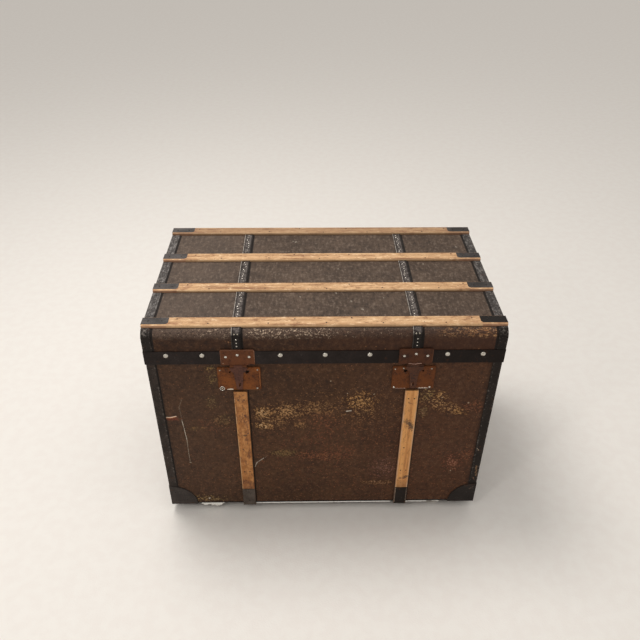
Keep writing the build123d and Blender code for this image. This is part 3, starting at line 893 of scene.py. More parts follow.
@dataclass(frozen=True)
class UprightSlatWood(BareWood):
    """The body's slats: the left one dark and stained, the right one paler, with a smudge and knots."""

    soot: Shade = shade(52, 38, 30)
    blot: Shade = shade(84, 44, 32)

    def marks(self) -> list[Stroke]:
        """The blots, knots and smudges on the front slats.

        Returns:
            The marks.
        """
        soot, blot = self.soot, self.blot
        return [
            Stroke(((-0.1878, 0.35), (-0.1878, 0.346)), 0.006, blot, 0.85, 0.3),
            Stroke(((-0.1905, 0.336), (-0.1885, 0.318)), 0.004, blot, 0.55, 0.8),
            Stroke(((-0.196, 0.285), (-0.189, 0.284), (-0.185, 0.292)), 0.005, soot, 0.8, 0.4),
            Stroke(((-0.206, 0.405), (-0.19, 0.398)), 0.012, blot, 0.4, 0.5),
            Stroke(((-0.185, 0.33), (-0.1835, 0.29)), 0.0036, blot, 0.6, 0.5),
            Stroke(((-0.187, 0.212), (-0.186, 0.205)), 0.006, blot, 0.6, 0.4),
            Stroke(((-0.205, 0.122), (-0.186, 0.112)), 0.013, blot, 0.5, 0.5),
            Stroke(((0.198, 0.328), (0.2135, 0.305)), 0.019, soot, 0.58, 0.22),
            Stroke(((0.203, 0.322), (0.212, 0.309)), 0.0105, soot, 0.62, 0.3),
            Stroke(((0.209, 0.129), (0.216, 0.132)), 0.011, soot, 0.75, 0.12),
            Stroke(((0.197, 0.125), (0.207, 0.127)), 0.009, blot, 0.6, 0.3),
            Stroke(((0.193, 0.116), (0.2, 0.112)), 0.007, blot, 0.45, 0.8),
            Stroke(((0.197, 0.389), (0.206, 0.385)), 0.005, blot, 0.45, 1.0),
            Stroke(((0.1985, 0.237),), 0.004, soot, 0.6, 0.3),
        ]

    def material(self) -> bpy.types.Material:
        """Mix the finish.

        Returns:
            The finished material.
        """
        recipe = Recipe(self.name)
        x, y, z = recipe.axes
        colour, lines = self.base(recipe)
        cloud = recipe.noise(0.022, 4.0, 0.62, shift=27.0)
        grit = recipe.noise(0.0035, 2.0, 0.6, shift=31.0)
        mottle = recipe.noise(0.009, 3.0, 0.8, (1.0, 1.0, 0.45), 39.0)
        left = x.within(0.02, -0.02)
        colour = recipe.coated(
            colour,
            (shade(154, 94, 38), left * (0.55 + cloud.within(0.42, 0.6) * 0.4)),
            (shade(104, 60, 30), mottle.within(0.51, 0.64) * (0.3 + left * 0.45)),
            (shade(214, 160, 102), mottle.within(0.46, 0.34) * 0.35),
        )
        marked = recipe.marked(colour, Face.FRONT, self.marks(), grit)
        half, face = TRUNK.slat_half, TRUNK.slat_face
        edge = (x - (Side.LEFT.middle - half)).within(0.003, 0.0018) * cloud.within(0.4, 0.5)
        rim = abs(x - Side.RIGHT.middle).within(half - 0.0046, half - 0.0022)
        colour = recipe.coated(
            colour,
            (marked, y.within(0.0, -0.01)),
            (self.blot, z.within(0.125, 0.09) * 0.45),
            # Painted highlight: a pale line along the left slat's left edge.
            (shade(206, 160, 112), edge * left * 0.8),
            (shade(214, 170, 132), rim * (1.0 - left) * (0.35 + cloud.within(0.4, 0.56) * 0.45)),
            # Painted shade on the slats' side faces, behind their front face.
            (shade(64, 40, 26), abs(y).within(face - 0.0006, face - 0.0016) * 0.8),
        )
        return recipe.surface(colour, 0.74 - lines * 0.12, lines, 0.0005)


@dataclass(frozen=True)
class BlackIron(Finish):
    """Black japanned sheet iron: dull satin, faintly uneven, rubbed pale in specks, rusting in spots."""

    slot: ClassVar[Slot] = Slot.BLACK
    face: Shade = shade(66, 59, 55)
    deep: Shade = shade(52, 46, 43)
    rubbed: Shade = shade(134, 126, 118)
    rust: Shade = shade(88, 58, 42)
    black: Shade = shade(22, 16, 13)
    right: float = 0.6
    edge: float = 0.0
    wear: float = 0.5
    satin: float = 0.5
    sheen: float = 0.16
    worn_top: float = 0.0
    marks: tuple[Stroke, ...] = ()
    marked: Face = Face.FRONT

    def material(self) -> bpy.types.Material:
        """Mix the finish.

        Returns:
            The finished material.
        """
        recipe = Recipe(self.name)
        x, _, z = recipe.axes
        cloud = recipe.noise(0.034, 4.0, 0.6, shift=1.0)
        fine = recipe.noise(0.005, 3.0, 0.8, shift=4.0)
        rust = recipe.noise(0.012, 5.0, 0.65, shift=8.0).within(0.6, 0.7)
        rubbed = (fine * 0.72 + cloud * 0.28).within(0.63 - 0.05 * self.wear, 0.7)
        coats = [
            (self.face, (cloud * 0.6 + fine * 0.4).within(0.38, 0.6)),
            (self.black, x.within(-0.1, 0.25) * self.right),
            (self.rust, rust * (0.25 + 0.5 * self.wear)),
            (self.rubbed, rubbed * (0.5 + 0.3 * self.wear)),
        ]
        if self.worn_top:
            up = z.within(self.worn_top - 0.0012, self.worn_top - 0.0002)
            bend = z.within(self.worn_top - 0.016, self.worn_top - 0.006)
            chipped = recipe.noise(0.007, 3.0, 0.8, shift=23.0).within(0.54, 0.62)
            paler = x.within(0.3, -0.3) * 0.18 + 0.32
            worn = recipe.noise(0.0085, 3.0, 0.75, (1.0, 0.5, 1.0), 21.0).within(0.5, 0.62)
            coats += [
                (self.rubbed, bend * chipped * 0.7),
                (shade(88, 84, 82), up * paler),
                (shade(154, 148, 144), up * worn * paler * 0.9),
            ]
        if self.edge:
            specks = recipe.noise(0.005, 2.0, 0.8, shift=12.0).within(0.54, 0.64)
            coats += [
                (self.rubbed, abs(x).within(self.edge + 0.006, self.edge + 0.001) * specks * 0.5),
                (self.rubbed, abs(x).within(self.edge + 0.0165, self.edge + 0.0195) * specks * 0.6),
                # Painted shadow: a black line along the inner edge, where the iron meets the canvas.
                (self.black, abs(x).within(self.edge + 0.0016, self.edge + 0.0007) * 0.7),
            ]
        colour = recipe.coated(self.deep, *coats)
        if self.marks:
            colour = recipe.marked(colour, self.marked, self.marks, fine)
        roughness = self.satin + cloud * 0.16 + rust * 0.16
        fixed = {"metallic": 0.1, "specular_ior_level": self.sheen}
        return recipe.surface(colour, roughness, cloud * 1.2 + fine * 0.45, 0.0007, **fixed)


@dataclass(frozen=True)
class StrapIron(Finish):
    """The straps over the lid: a thin pale line painted as a highlight on the left rib, a painted shadow
    along the right rib and a black front.
    """

    name: str = "strap_iron"
    face: Shade = shade(98, 90, 86)
    deep: Shade = shade(48, 42, 39)
    black: Shade = shade(20, 15, 12)
    # Pale colour of rubbed specks, also used for the painted highlight on the left rib.
    worn: Shade = shade(164, 154, 144)
    half: float = 0.00755

    def material(self) -> bpy.types.Material:
        """Mix the finish.

        Returns:
            The finished material.
        """
        recipe = Recipe(self.name)
        x, _, z = recipe.axes
        cloud = recipe.noise(0.016, 4.0, 0.65, shift=1.0)
        fine = recipe.noise(0.0046, 3.0, 0.8, shift=4.0)
        across = abs(x - TRUNK.locks_to_right) - TRUNK.lock_offset
        rightward = across * x.within(-0.001, 0.001) - across * x.within(0.001, -0.001)
        line = rightward.within(-self.half - 0.0013, -self.half - 0.0019)
        line = line * rightward.within(-self.half - 0.0034, -self.half - 0.0028)
        colour = recipe.coated(
            self.deep,
            (self.face, (cloud * 0.5 + fine * 0.5).within(0.4, 0.58)),
            (self.worn, (fine * 0.7 + cloud * 0.3).within(0.56, 0.66) * 0.6),
            (self.black, rightward.within(-self.half + 0.0022, -self.half + 0.0008) * 0.55),
            # Painted highlight: a thin broken pale line on the left rib.
            (self.worn, line * fine.within(0.34, 0.5) * 0.9),
            # Painted shadow along the right rib.
            (self.black, rightward.within(self.half - 0.0012, self.half + 0.0002) * 0.85),
            (self.black, z.within(TRUNK.lid_top - 0.004, TRUNK.lid_top - 0.012) * 0.85),
        )
        fixed = {"metallic": 0.1, "specular_ior_level": 0.16}
        return recipe.surface(colour, 0.5 + cloud * 0.2, cloud + fine * 0.5, 0.0006, **fixed)


@dataclass(frozen=True)
class RustedIron(Finish):
    """Lock iron under rust: orange to dark red-brown, pitted, with the left lock the brighter one."""

    orange: Shade = shade(128, 73, 32)
    brown: Shade = shade(94, 51, 23)
    dark: Shade = shade(50, 30, 18)
    right_tint: Shade = shade(86, 45, 19)
    marks: tuple[Stroke, ...] = ()

    def material(self) -> bpy.types.Material:
        """Mix the finish.

        Returns:
            The finished material.
        """
        recipe = Recipe(self.name)
        cloud = recipe.noise(0.026, 5.0, 0.62, shift=2.0)
        pits = recipe.noise(0.0046, 3.0, 0.8, shift=6.0)
        colour = recipe.coated(
            self.brown,
            (self.orange, (cloud * 0.7 + pits * 0.3).within(0.38, 0.6)),
            (self.right_tint, recipe.axes[0].within(-0.02, 0.02) * 0.55),
            (self.dark, (pits * 0.6 + cloud * 0.4).within(0.47, 0.36) * 0.8),
        )
        colour = recipe.marked(colour, Face.FRONT, self.marks, pits)
        fixed = {"metallic": 0.12, "specular_ior_level": 0.2}
        return recipe.surface(colour, 0.52 + cloud * 0.26, cloud * 1.1 + pits * 0.8, 0.0008, **fixed)


@dataclass(frozen=True)
class BrightMetal(Finish):
    """Plated nail heads, bright with a little tarnish; on the rimmed domes the lower half is darkened as
    painted shade, and the rim as grime and painted shade.
    """

    slot: ClassVar[Slot] = Slot.NAILS
    bright: Shade = shade(206, 202, 195)
    tarnish: Shade = shade(128, 116, 100)
    grime: Shade = shade(52, 46, 40)
    tarnished: float = 0.5
    rimmed: bool = False

    def material(self) -> bpy.types.Material:
        """Mix the finish.

        Returns:
            The finished material.
        """
        recipe = Recipe(self.name)
        x, y, z = recipe.axes
        cloud = recipe.noise(0.004, 3.0, 0.6, shift=1.0)
        coats = [(self.tarnish, cloud.within(0.48, 0.66) * self.tarnished)]
        # Painted shade: each rimmed dome darkens over its lower half, and its rim darkens with grime and
        # painted shade.
        if self.rimmed:
            height = (abs(x) - TRUNK.band_end).most(abs(y) - TRUNK.band_face)
            lower = z.within(TRUNK.dome_height + 0.0014, TRUNK.dome_height - 0.0038)
            coats += [
                (self.tarnish, lower * 0.8),
                (self.grime, height.within(0.0027, 0.0002) * (0.4 + lower * 0.6)),
            ]
        colour = recipe.coated(self.bright, *coats)
        return recipe.surface(colour, 0.15 + cloud * 0.16, cloud, 0.0002, metallic=0.85)


@dataclass(frozen=True)
class LiningPaper(Finish):
    """Old lining paper: cream with faint printed stripes, foxed and stained."""

    name: str = "striped_paper"
    cream: Shade = shade(206, 190, 160)
    stripe: Shade = shade(176, 148, 118)
    fox: Shade = shade(150, 108, 70)
    pitch: float = 0.024
    end_wall: float = 0.3868

    def material(self) -> bpy.types.Material:
        """Mix the finish.

        Returns:
            The finished material.
        """
        recipe = Recipe(self.name)
        x, y, _ = recipe.axes
        stains = recipe.noise(0.09, 4.0, 0.6, shift=2.0)
        fibres = recipe.noise(0.002, 2.0, 0.6, shift=5.0)
        turns = 2 * math.pi / self.pitch
        ends = abs(x).within(self.end_wall - 0.0005, self.end_wall)
        waves = (x * turns).sine() * (1.0 - ends) + (y * turns).sine() * ends
        colour = recipe.coated(
            self.cream,
            (self.stripe, waves.within(0.3, 0.55) * 0.5),
            (self.fox, stains.within(0.54, 0.7) * 0.55),
            (self.fox, recipe.specks(0.02, 0.0014, 0.25, 3.0) * 0.5),
        )
        return recipe.surface(colour, 0.86 - fibres * 0.1, fibres + stains, 0.0003)


@dataclass(frozen=True)
class RawCloth(Finish):
    """Raw undyed cloth where the painted canvas has torn: off-white, dusty in its folds."""

    slot: ClassVar[Slot] = Slot.CANVAS
    name: str = "raw_cloth"
    clean: Shade = shade(250, 246, 238)
    dusty: Shade = shade(176, 162, 144)

    def material(self) -> bpy.types.Material:
        """Mix the finish.

        Returns:
            The finished material.
        """
        recipe = Recipe(self.name)
        cloud = recipe.noise(0.012, 3.0, 0.6)
        colour = recipe.coated(self.clean, (self.dusty, cloud.within(0.54, 0.72) * 0.7))
        return recipe.surface(colour, 0.9 - cloud * 0.05, recipe.weave(0.0011) * 0.5 + cloud, 0.0003)


@dataclass(frozen=True)
class StudioFloor(Finish):
    """The pale floor that the trunk stands on, with the least of a nap."""

    name: str = "studio_floor"
    cream: Shade = shade(238, 232, 224)
    beige: Shade = shade(236, 229, 221)

    def material(self) -> bpy.types.Material:
        """Mix the finish.

        Returns:
            The finished material.
        """
        recipe = Recipe(self.name)
        cloud = recipe.noise(0.03, 3.0)
        nap = recipe.noise(0.004, 2.0)
        colour = recipe.coated(self.cream, (self.beige, cloud.within(0.35, 0.65)))
        return recipe.surface(colour, 0.9 + nap * 0.05, nap, 0.0004, specular_ior_level=0.1)


PINE = (shade(206, 174, 130), shade(184, 148, 104), shade(132, 98, 64))
HASP_LINE = Stroke(
    ((0.1875, 0.5052), (0.2, 0.504), (0.2165, 0.5056)), 0.0026, shade(180, 144, 128), 0.85, 0.2
)


@dataclass(frozen=True)
class Finishes:
    """Every finish of the trunk."""

    body_canvas: Finish = BodyCanvas()
    lid_canvas: Finish = LidCanvas()
    top_slats: Finish = TopSlatWood(
        "top_slat_wood", Grain.ALONG, shade(203, 162, 118), shade(177, 134, 92), shade(118, 75, 46)
    )
    upright_slats: Finish = UprightSlatWood(
        "upright_slat_wood", Grain.UP, shade(226, 162, 94), shade(196, 132, 70), shade(122, 74, 38)
    )
    boards: Finish = BareWood("board_pine", Grain.ALONG, *PINE)
    end_boards: Finish = BareWood("end_board_pine", Grain.ACROSS, *PINE)
    runners: Finish = BareWood(
        "runner_wood", Grain.ALONG, shade(150, 118, 82), shade(124, 94, 64), shade(78, 56, 40)
    )
    wheels: Finish = BareWood(
        "wheel_boxwood", Grain.ACROSS, shade(222, 210, 188), shade(200, 186, 160), shade(140, 122, 98)
    )
    paper: Finish = LiningPaper()
    cloth: Finish = RawCloth()
    iron: Finish = BlackIron("japanned_iron")
    protector: Finish = BlackIron(
        "protector_iron",
        marks=(
            Stroke(((0.3325, 0.05), (0.3345, 0.064), (0.342, 0.08)), 0.0024, shade(120, 96, 80), 0.6, 0.8),
            Stroke(((0.344, 0.083), (0.353, 0.081)), 0.0022, shade(132, 110, 94), 0.6, 0.6),
            Stroke(((0.37, 0.088), (0.396, 0.093)), 0.006, shade(96, 62, 48), 0.5, 0.6),
            Stroke(((0.385, 0.076), (0.395, 0.086)), 0.004, shade(112, 92, 80), 0.5, 0.8),
            Stroke(((-0.396, 0.04), (-0.37, 0.032)), 0.004, shade(78, 70, 66), 0.5, 0.8),
        ),
    )
    binding: Finish = BlackIron(
        "binding_iron",
        shade(58, 49, 44),
        shade(40, 33, 29),
        edge=0.3795,
        marks=(
            Stroke(((0.383, 0.226), (0.387, 0.22)), 0.0034, shade(168, 148, 126), 0.7, 0.6),
            Stroke(((0.392, 0.16), (0.395, 0.125)), 0.0046, shade(150, 116, 84), 0.6, 0.8),
            Stroke(((0.388, 0.118), (0.393, 0.108)), 0.004, shade(140, 104, 80), 0.6, 0.6),
        ),
    )
    lid_binding: Finish = BlackIron(
        "lid_binding_iron", shade(44, 38, 35), shade(30, 25, 22), edge=0.38, worn_top=0.5939
    )
    band: Finish = BlackIron(
        "band_iron", shade(50, 43, 41), shade(40, 34, 32), wear=0.1, satin=0.6, right=0.55, sheen=0.1
    )
    strap: Finish = StrapIron()
    clip: Finish = BlackIron(
        "clip_iron",
        shade(88, 83, 81),
        shade(62, 58, 56),
        right=0.35,
        satin=0.62,
        marks=(Stroke(((0.352, -0.2105), (0.4, -0.2105)), 0.06, shade(24, 20, 18), 0.88),),
        marked=Face.TOP,
    )
    foot_clip: Finish = BlackIron(
        "foot_clip_iron",
        shade(95, 84, 76),
        shade(74, 65, 58),
        right=0.9,
        satin=0.62,
        marks=(
            Stroke(((0.1876, 0.03), (0.188, 0.088)), 0.0028, shade(150, 128, 112), 0.75, 0.2),
            Stroke(((0.2172, 0.03), (0.2168, 0.088)), 0.0024, shade(132, 114, 100), 0.7, 0.3),
            Stroke(((-0.206, 0.0895), (-0.1835, 0.0895)), 0.002, shade(22, 17, 14), 0.7, 0.2),
        ),
    )
    nail_iron: Finish = BlackIron(
        "nail_iron", shade(60, 52, 48), shade(34, 29, 27), wear=0.4, satin=0.42
    )
    rust: Finish = RustedIron(
        "rusted_lock_iron",
        marks=(
            Stroke(((-0.221, 0.4306), (-0.212, 0.4312)), 0.0058, shade(236, 224, 206)),
            Stroke(((0.164, 0.4305), (0.185, 0.4298)), 0.0036, shade(190, 158, 142), 0.85, 0.5),
            Stroke(((0.214, 0.43), (0.237, 0.4306)), 0.0044, shade(222, 206, 192), 0.9, 0.5),
            Stroke(((0.19, 0.43), (0.213, 0.43)), 0.006, shade(40, 20, 14), 0.8, 0.2),
            # Painted shade: dark spots round the bores, which make the holes read larger and darker.
            Stroke(((-0.176, 0.4826),), 0.017, shade(62, 44, 38), 0.6, 0.2),
            Stroke(((-0.1755, 0.4826),), 0.0112, shade(20, 11, 8), 0.95, 0.08),
            Stroke(((-0.214, 0.4834),), 0.0078, shade(36, 18, 10), 0.9, 0.08),
            Stroke(((0.1815, 0.4826),), 0.017, shade(58, 36, 26), 0.6, 0.2),
            Stroke(((0.1826, 0.4826),), 0.011, shade(24, 13, 9), 0.9, 0.08),
            Stroke(((0.2225, 0.4826),), 0.007, shade(44, 24, 14), 0.6, 0.2),
            # Painted highlights: pale lines along the left case's right and lower edges.
            Stroke(((-0.1475, 0.44), (-0.1475, 0.482)), 0.0022, shade(156, 98, 54), 0.8, 0.3),
            Stroke(((-0.185, 0.4302), (-0.15, 0.4302)), 0.0018, shade(150, 104, 66), 0.6, 0.4),
        ),
    )
    plate: Finish = RustedIron(
        "rusted_plate_iron",
        shade(106, 62, 36),
        shade(78, 43, 25),
        shade(44, 26, 18),
        shade(54, 30, 19),
        marks=(
            HASP_LINE,
            Stroke(((-0.227, 0.5085),), 0.0036, shade(176, 150, 126), 0.6, 0.3),
            # Painted highlights: pale lines along the left plate's top, left and right edges.
            Stroke(((-0.23, 0.5464), (-0.159, 0.5464)), 0.002, shade(138, 100, 80), 0.45, 0.4),
            Stroke(((-0.232, 0.51), (-0.232, 0.544)), 0.002, shade(138, 100, 80), 0.5, 0.4),
            Stroke(((-0.157, 0.51), (-0.157, 0.544)), 0.002, shade(150, 110, 88), 0.6, 0.4),
            # Painted shadow at the left plate's lower right corner, beside the hasp's knuckle.
            Stroke(((-0.17, 0.5062), (-0.159, 0.505)), 0.004, shade(26, 15, 12), 0.85, 0.2),
            # Painted highlight along the right plate's right edge.
            Stroke(((0.24, 0.51), (0.24, 0.544)), 0.002, shade(110, 74, 56), 0.45, 0.4),
        ),
    )
    hasp: Finish = RustedIron(
        "rusted_hasp_iron",
        shade(98, 62, 48),
        shade(82, 51, 42),
        shade(46, 32, 28),
        shade(80, 49, 28),
        marks=(
            HASP_LINE,
            Stroke(((0.1875, 0.5), (0.2165, 0.5)), 0.003, shade(24, 15, 12), 0.7, 0.2),
            # Painted shade: dark spots in the hasps' slots.
            Stroke(((-0.1922, 0.4512), (-0.194, 0.444)), 0.0046, shade(22, 12, 10), 0.9, 0.1),
            Stroke(((0.2025, 0.447), (0.2025, 0.4425)), 0.0046, shade(26, 14, 10), 0.85, 0.1),
            Stroke(((0.1985, 0.447), (0.199, 0.441)), 0.0018, shade(150, 112, 84), 0.6, 0.2),
        ),
    )
    bright: Finish = BrightMetal("bright_rivet")
    strap_nail: Finish = BrightMetal("worn_nail", shade(202, 196, 188), shade(104, 96, 88), tarnished=0.8)
    band_nail: Finish = BrightMetal("bright_dome_nail", rimmed=True)
    dull: Finish = BrightMetal("dull_steel", shade(170, 162, 150), tarnished=1.0)


# Mesh shapes


@dataclass(frozen=True)
class NailHead:
    """A size of nail or rivet head: a low dome, with the corners of its outline and its steps."""

    radius: float
    height: float
    sides: int = 10
    rings: int = 2


def ring(radius: float, sides: int, rise: float = 0.0) -> list[Vector]:
    """Even points round the Z axis, at a radius and a height."""
    angles = (2 * math.pi * side / sides for side in range(sides))
    return [Vector((radius * math.cos(a), radius * math.sin(a), rise)) for a in angles]


def add_dome(mesh: bmesh.types.BMesh, seat: Seat, head: NailHead) -> None:
    """Add a nail or rivet head: a closed low dome that stands a hair inside its seat.

    Args:
        mesh: The mesh that it goes into.
        seat: The middle of its base, and the way that it faces.
        head: Its size.
    """
    foot, outward = Vector(seat[0]), Vector(seat[1])
    turn = outward.to_track_quat("Z", "Y")
    climbs = [math.pi / 2 * step / head.rings for step in range(head.rings)]
    levels = [(head.radius, -0.0002)]
    levels += [(head.radius * math.cos(climb), head.height * math.sin(climb)) for climb in climbs]
    loops = [
        [mesh.verts.new(foot + turn @ spot) for spot in ring(reach, head.sides, rise)]
        for reach, rise in levels
    ]
    crown = mesh.verts.new(foot + turn @ Vector((0.0, 0.0, head.height)))
    mesh.faces.new(loops[0][::-1])
    for lower, upper in zip(loops, loops[1:]):
        for side in range(head.sides):
            after = (side + 1) % head.sides
            mesh.faces.new((lower[side], lower[after], upper[after], upper[side]))
    for side in range(head.sides):
        mesh.faces.new((loops[-1][side], loops[-1][(side + 1) % head.sides], crown))


def add_tube(mesh: bmesh.types.BMesh, path: Sequence[Vector], radius: float, closed: bool = False) -> None:
    """Add a round bar along a path, with flat ends or joined into a ring.

    Args:
        mesh: The mesh that it goes into.
        path: The points of its middle line.
        radius: Its radius.
        closed: Whether its end joins its start.
    """
    count, sides = len(path), 8
    loops = []
    for index, spot in enumerate(path):
        before = path[index - 1] if closed or index else spot
        after = path[(index + 1) % count] if closed or index < count - 1 else spot
        turn = (after - before).to_track_quat("Z", "Y")
        loops.append([mesh.verts.new(spot + turn @ corner) for corner in ring(radius, sides)])
    pairs = list(zip(loops, loops[1:]))
    if closed:
        pairs.append((loops[-1], loops[0]))
    for lower, upper in pairs:
        offset = min(range(sides), key=lambda step: (upper[step].co - lower[0].co).length)
        for side in range(sides):
            first, second = (side + offset) % sides, (side + 1 + offset) % sides
            mesh.faces.new((lower[side], lower[(side + 1) % sides], upper[second], upper[first]))
    if not closed:
        mesh.faces.new(loops[0][::-1])
        mesh.faces.new(loops[-1])


def add_sheet(mesh: bmesh.types.BMesh, rows: Sequence[Sequence[Vector]], thickness: float) -> float:
    """Add a thin closed sheet through a grid of points.

    Args:
        mesh: The mesh that it goes into.
        rows: The grid's rows of points on the sheet's front.
        thickness: How far its back lies behind and above its front.

    Returns:
        The area of the sheet's front.
    """
    back = Vector((0.0, thickness, thickness))
    fronts = [[mesh.verts.new(spot) for spot in row] for row in rows]
    backs = [[mesh.verts.new(spot + back) for spot in row] for row in rows]
    area = 0.0
    high, wide = len(rows), len(rows[0])
    for i in range(high - 1):
        for j in range(wide - 1):
            face = mesh.faces.new((fronts[i][j], fronts[i + 1][j], fronts[i + 1][j + 1], fronts[i][j + 1]))
            area += face.calc_area()
            mesh.faces.new((backs[i][j], backs[i][j + 1], backs[i + 1][j + 1], backs[i + 1][j]))
    rim = [(0, j) for j in range(wide - 1)] + [(i, wide - 1) for i in range(high - 1)]
    rim += [(high - 1, j) for j in range(wide - 1, 0, -1)] + [(i, 0) for i in range(high - 1, 0, -1)]
    for (i, j), (k, m) in zip(rim, rim[1:] + rim[:1]):
        mesh.faces.new((fronts[i][j], fronts[k][m], backs[k][m], backs[i][j]))
    return area


def spaced(start: float, stop: float, pitch: float) -> list[float]:
    """Even places from start to stop, about a pitch apart."""
    steps = max(1, round(abs(stop - start) / pitch))
    return [start + (stop - start) * step / steps for step in range(steps + 1)]


# The workshop


@dataclass
class Workshop:
    """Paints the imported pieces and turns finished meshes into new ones."""

    nodes: Mapping[str, bpy.types.Object]
    finishes: Finishes = Finishes()
    mixed: dict[Finish, bpy.types.Material] = field(default_factory=dict)

    def material(self, finish: Finish) -> bpy.types.Material:
        """Give a finish's material, which is mixed when it is first wanted.

        Args:
            finish: The finish.

        Returns:
            Its material.
        """
        if finish not in self.mixed:
            self.mixed[finish] = finish.material()
        return self.mixed[finish]

    def paint(self, finish: Finish, *names: str) -> None:
        """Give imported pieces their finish.

        Args:
            finish: The finish.
            *names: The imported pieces' names.
        """
        material = self.material(finish)
        for name in names:
            piece = self.nodes[name]
            if not piece.material_slots:
                piece.data.materials.append(material)
            for held in piece.material_slots:
                held.material = material
            LOG.info("%s painted with %s", name, material.name)

    def add(self, name: str, mesh: bmesh.types.BMesh, finish: Finish, body: Body) -> bpy.types.Object:
        """Turn a mesh into a piece that rides on a body.

        Args:
            name: The piece's name.
            mesh: Its mesh, which is used up.
            finish: Its finish.
            body: The body that it rides on.

        Returns:
            The piece.
        """
        bmesh.ops.recalc_face_normals(mesh, faces=mesh.faces)
        data = bpy.data.meshes.new(name)
        mesh.to_mesh(data)
        mesh.free()
        data.shade_smooth()
        data.materials.append(self.material(finish))
        piece = bpy.data.objects.new(name, data)
        bpy.context.scene.collection.objects.link(piece)
        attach(piece, body.value)
        LOG.info("%s rides on %s", name, body.value)
        return piece

    def nail(
        self, name: str, head: NailHead, seats: Iterable[Seat], finish: Finish, body: Body
    ) -> bpy.types.Object:
        """Drive nails or rivets of one size as one piece.

        Args:
            name: The piece's name.
            head: The size of their heads.
            seats: Each head's foot, and the way that it faces.
            finish: Their finish.
            body: The body that they ride on.

        Returns:
            The piece.
        """
        mesh = bmesh.new()
        for seat in seats:
            add_dome(mesh, seat, head)
        return self.add(name, mesh, finish, body)


# Sub-assemblies


@dataclass
class Carcass:
    """The body: boards, canvas, lining and the cloth that has torn loose under its front edge."""

    hem_runs: tuple[Spot, ...] = ((-0.178, 0.18), (0.216, 0.276))
    hem_pitch: float = 0.0035
    hem_drop: float = 0.0031
    hem_curl: float = 0.0022
    hem_inset: float = 0.0008
    hem_seam: float = 0.0006
    hem_slack: float = 1.1
    tucked: float = 0.0062
    least_width: float = 0.01
    cloth_thickness: float = 0.0004
    scraps: tuple[tuple[str, float, float, float], ...] = (
        ("torn_cloth_left", -0.324, -0.26, 0.0175),
        ("torn_cloth_right", 0.29, 0.314, 0.008),
    )
    scrap_outline: tuple[Spot, ...] = (
        (0.0, 0.4), (0.14, 0.72), (0.4, 0.62), (0.64, 1.0), (0.82, 0.74), (1.0, 0.1)
    )
    scrap_grid: tuple[int, int] = (22, 7)
    scrap_inset: float = 0.0045
    scrap_seam: float = 0.0007
    scrap_slack: float = 1.25
    scrap_bulge: float = 0.003
    scrap_crease: float = 0.0011
    scrap_fray: float = 0.0006

    def build(self, shop: Workshop) -> None:
        """Paint the body's boards and skins, and add the torn cloth.

        Args:
            shop: The workshop.
        """
        made = shop.finishes
        shop.paint(made.boards, "front_board", "back_board", "bottom_board")
        shop.paint(made.end_boards, "left_end_board", "right_end_board")
        shop.paint(made.body_canvas, "body_canvas")
        shop.paint(made.paper, "body_lining")
        chance = random.Random(11)
        hem = bmesh.new()
        hem_area = 0.0
        for start, stop in self.hem_runs:
            hem_area += add_sheet(hem, self._hem(start, stop, chance), self.cloth_thickness)
        width = sum(stop - start for start, stop in self.hem_runs)
        piece = shop.add("frayed_hem", hem, made.cloth, Body.CARCASS)
        depth = max(self.least_width, hem_area / width * self.hem_slack)
        for name, start, stop, drop in self.scraps:
            scrap = bmesh.new()
            area = add_sheet(scrap, self._scrap(start, stop, drop, chance), self.cloth_thickness)
            piece = shop.add(name, scrap, made.cloth, Body.CARCASS)
            length = max(self.least_width, area / (stop - start) * self.scrap_slack)

    def _hem(self, start: float, stop: float, chance: random.Random) -> list[list[Vector]]:
        """The grid of a stretch of frayed hem.

        Args:
            start: Its left end.
            stop: Its right end.
            chance: The source of its ragged depth.

        Returns:
            Rows of points from its top to its ragged edge.
        """
        places = spaced(start, stop, self.hem_pitch)
        drops = [self.hem_drop * chance.uniform(0.7, 1.0) for _ in places]
        top = TRUNK.bottom - self.hem_seam
        edge = self.hem_inset - TRUNK.body_face
        tucked = [Vector((x, edge + self.tucked, top)) for x in places]
        hung = [
            [Vector((x, edge - self.hem_curl * share, top - drop * share)) for x, drop in zip(places, drops)]
            for share in (0.0, 0.5, 1.0)
        ]
        return [tucked, *hung]

    def _scrap(self, start: float, stop: float, drop: float, chance: random.Random) -> list[list[Vector]]:
        """The grid of a crumpled scrap of cloth that hangs from under the front edge.

        Args:
            start: Its left end.
            stop: Its right end.
            drop: How far it hangs down at its lowest.
            chance: The source of its creases.

        Returns:
            Rows of points from its top to its lower edge.
        """
        columns, rows = self.scrap_grid
        phase = [chance.uniform(0, 2 * math.pi) for _ in range(3)]
        top = TRUNK.bottom - self.scrap_seam
        plane = self.scrap_inset - TRUNK.body_face
        shares = [column / columns for column in range(columns + 1)]
        grid = [[Vector((start + (stop - start) * along, plane + self.tucked, top)) for along in shares]]
        for down in (row / rows for row in range(rows + 1)):
            row = []
            for along in shares:
                crease = math.sin(along * 21 + down * 5 + phase[0])
                crease += 0.6 * math.sin(along * 34 - down * 9 + phase[1])
                bulge = self.scrap_bulge * math.sin(math.pi * min(1.0, down * 0.9))
                bulge += self.scrap_crease * crease * down
                fray = self.scrap_fray * math.sin(along * 60 + phase[2]) * down
                height = top - self._reach(along) * drop * down + fray
                row.append(Vector((start + (stop - start) * along, plane - bulge, height)))
            grid.append(row)
        return grid

    def _reach(self, along: float) -> float:
        """How far down a scrap reaches at a place along it, as a share of its drop.

        Args:
            along: The place, from 0 at its left end to 1 at its right one.

        Returns:
            The share.
        """
        for (left, low), (right, high) in zip(self.scrap_outline, self.scrap_outline[1:]):
            if along <= right:
                return low + (high - low) * (along - left) / (right - left)
        return self.scrap_outline[-1][1]


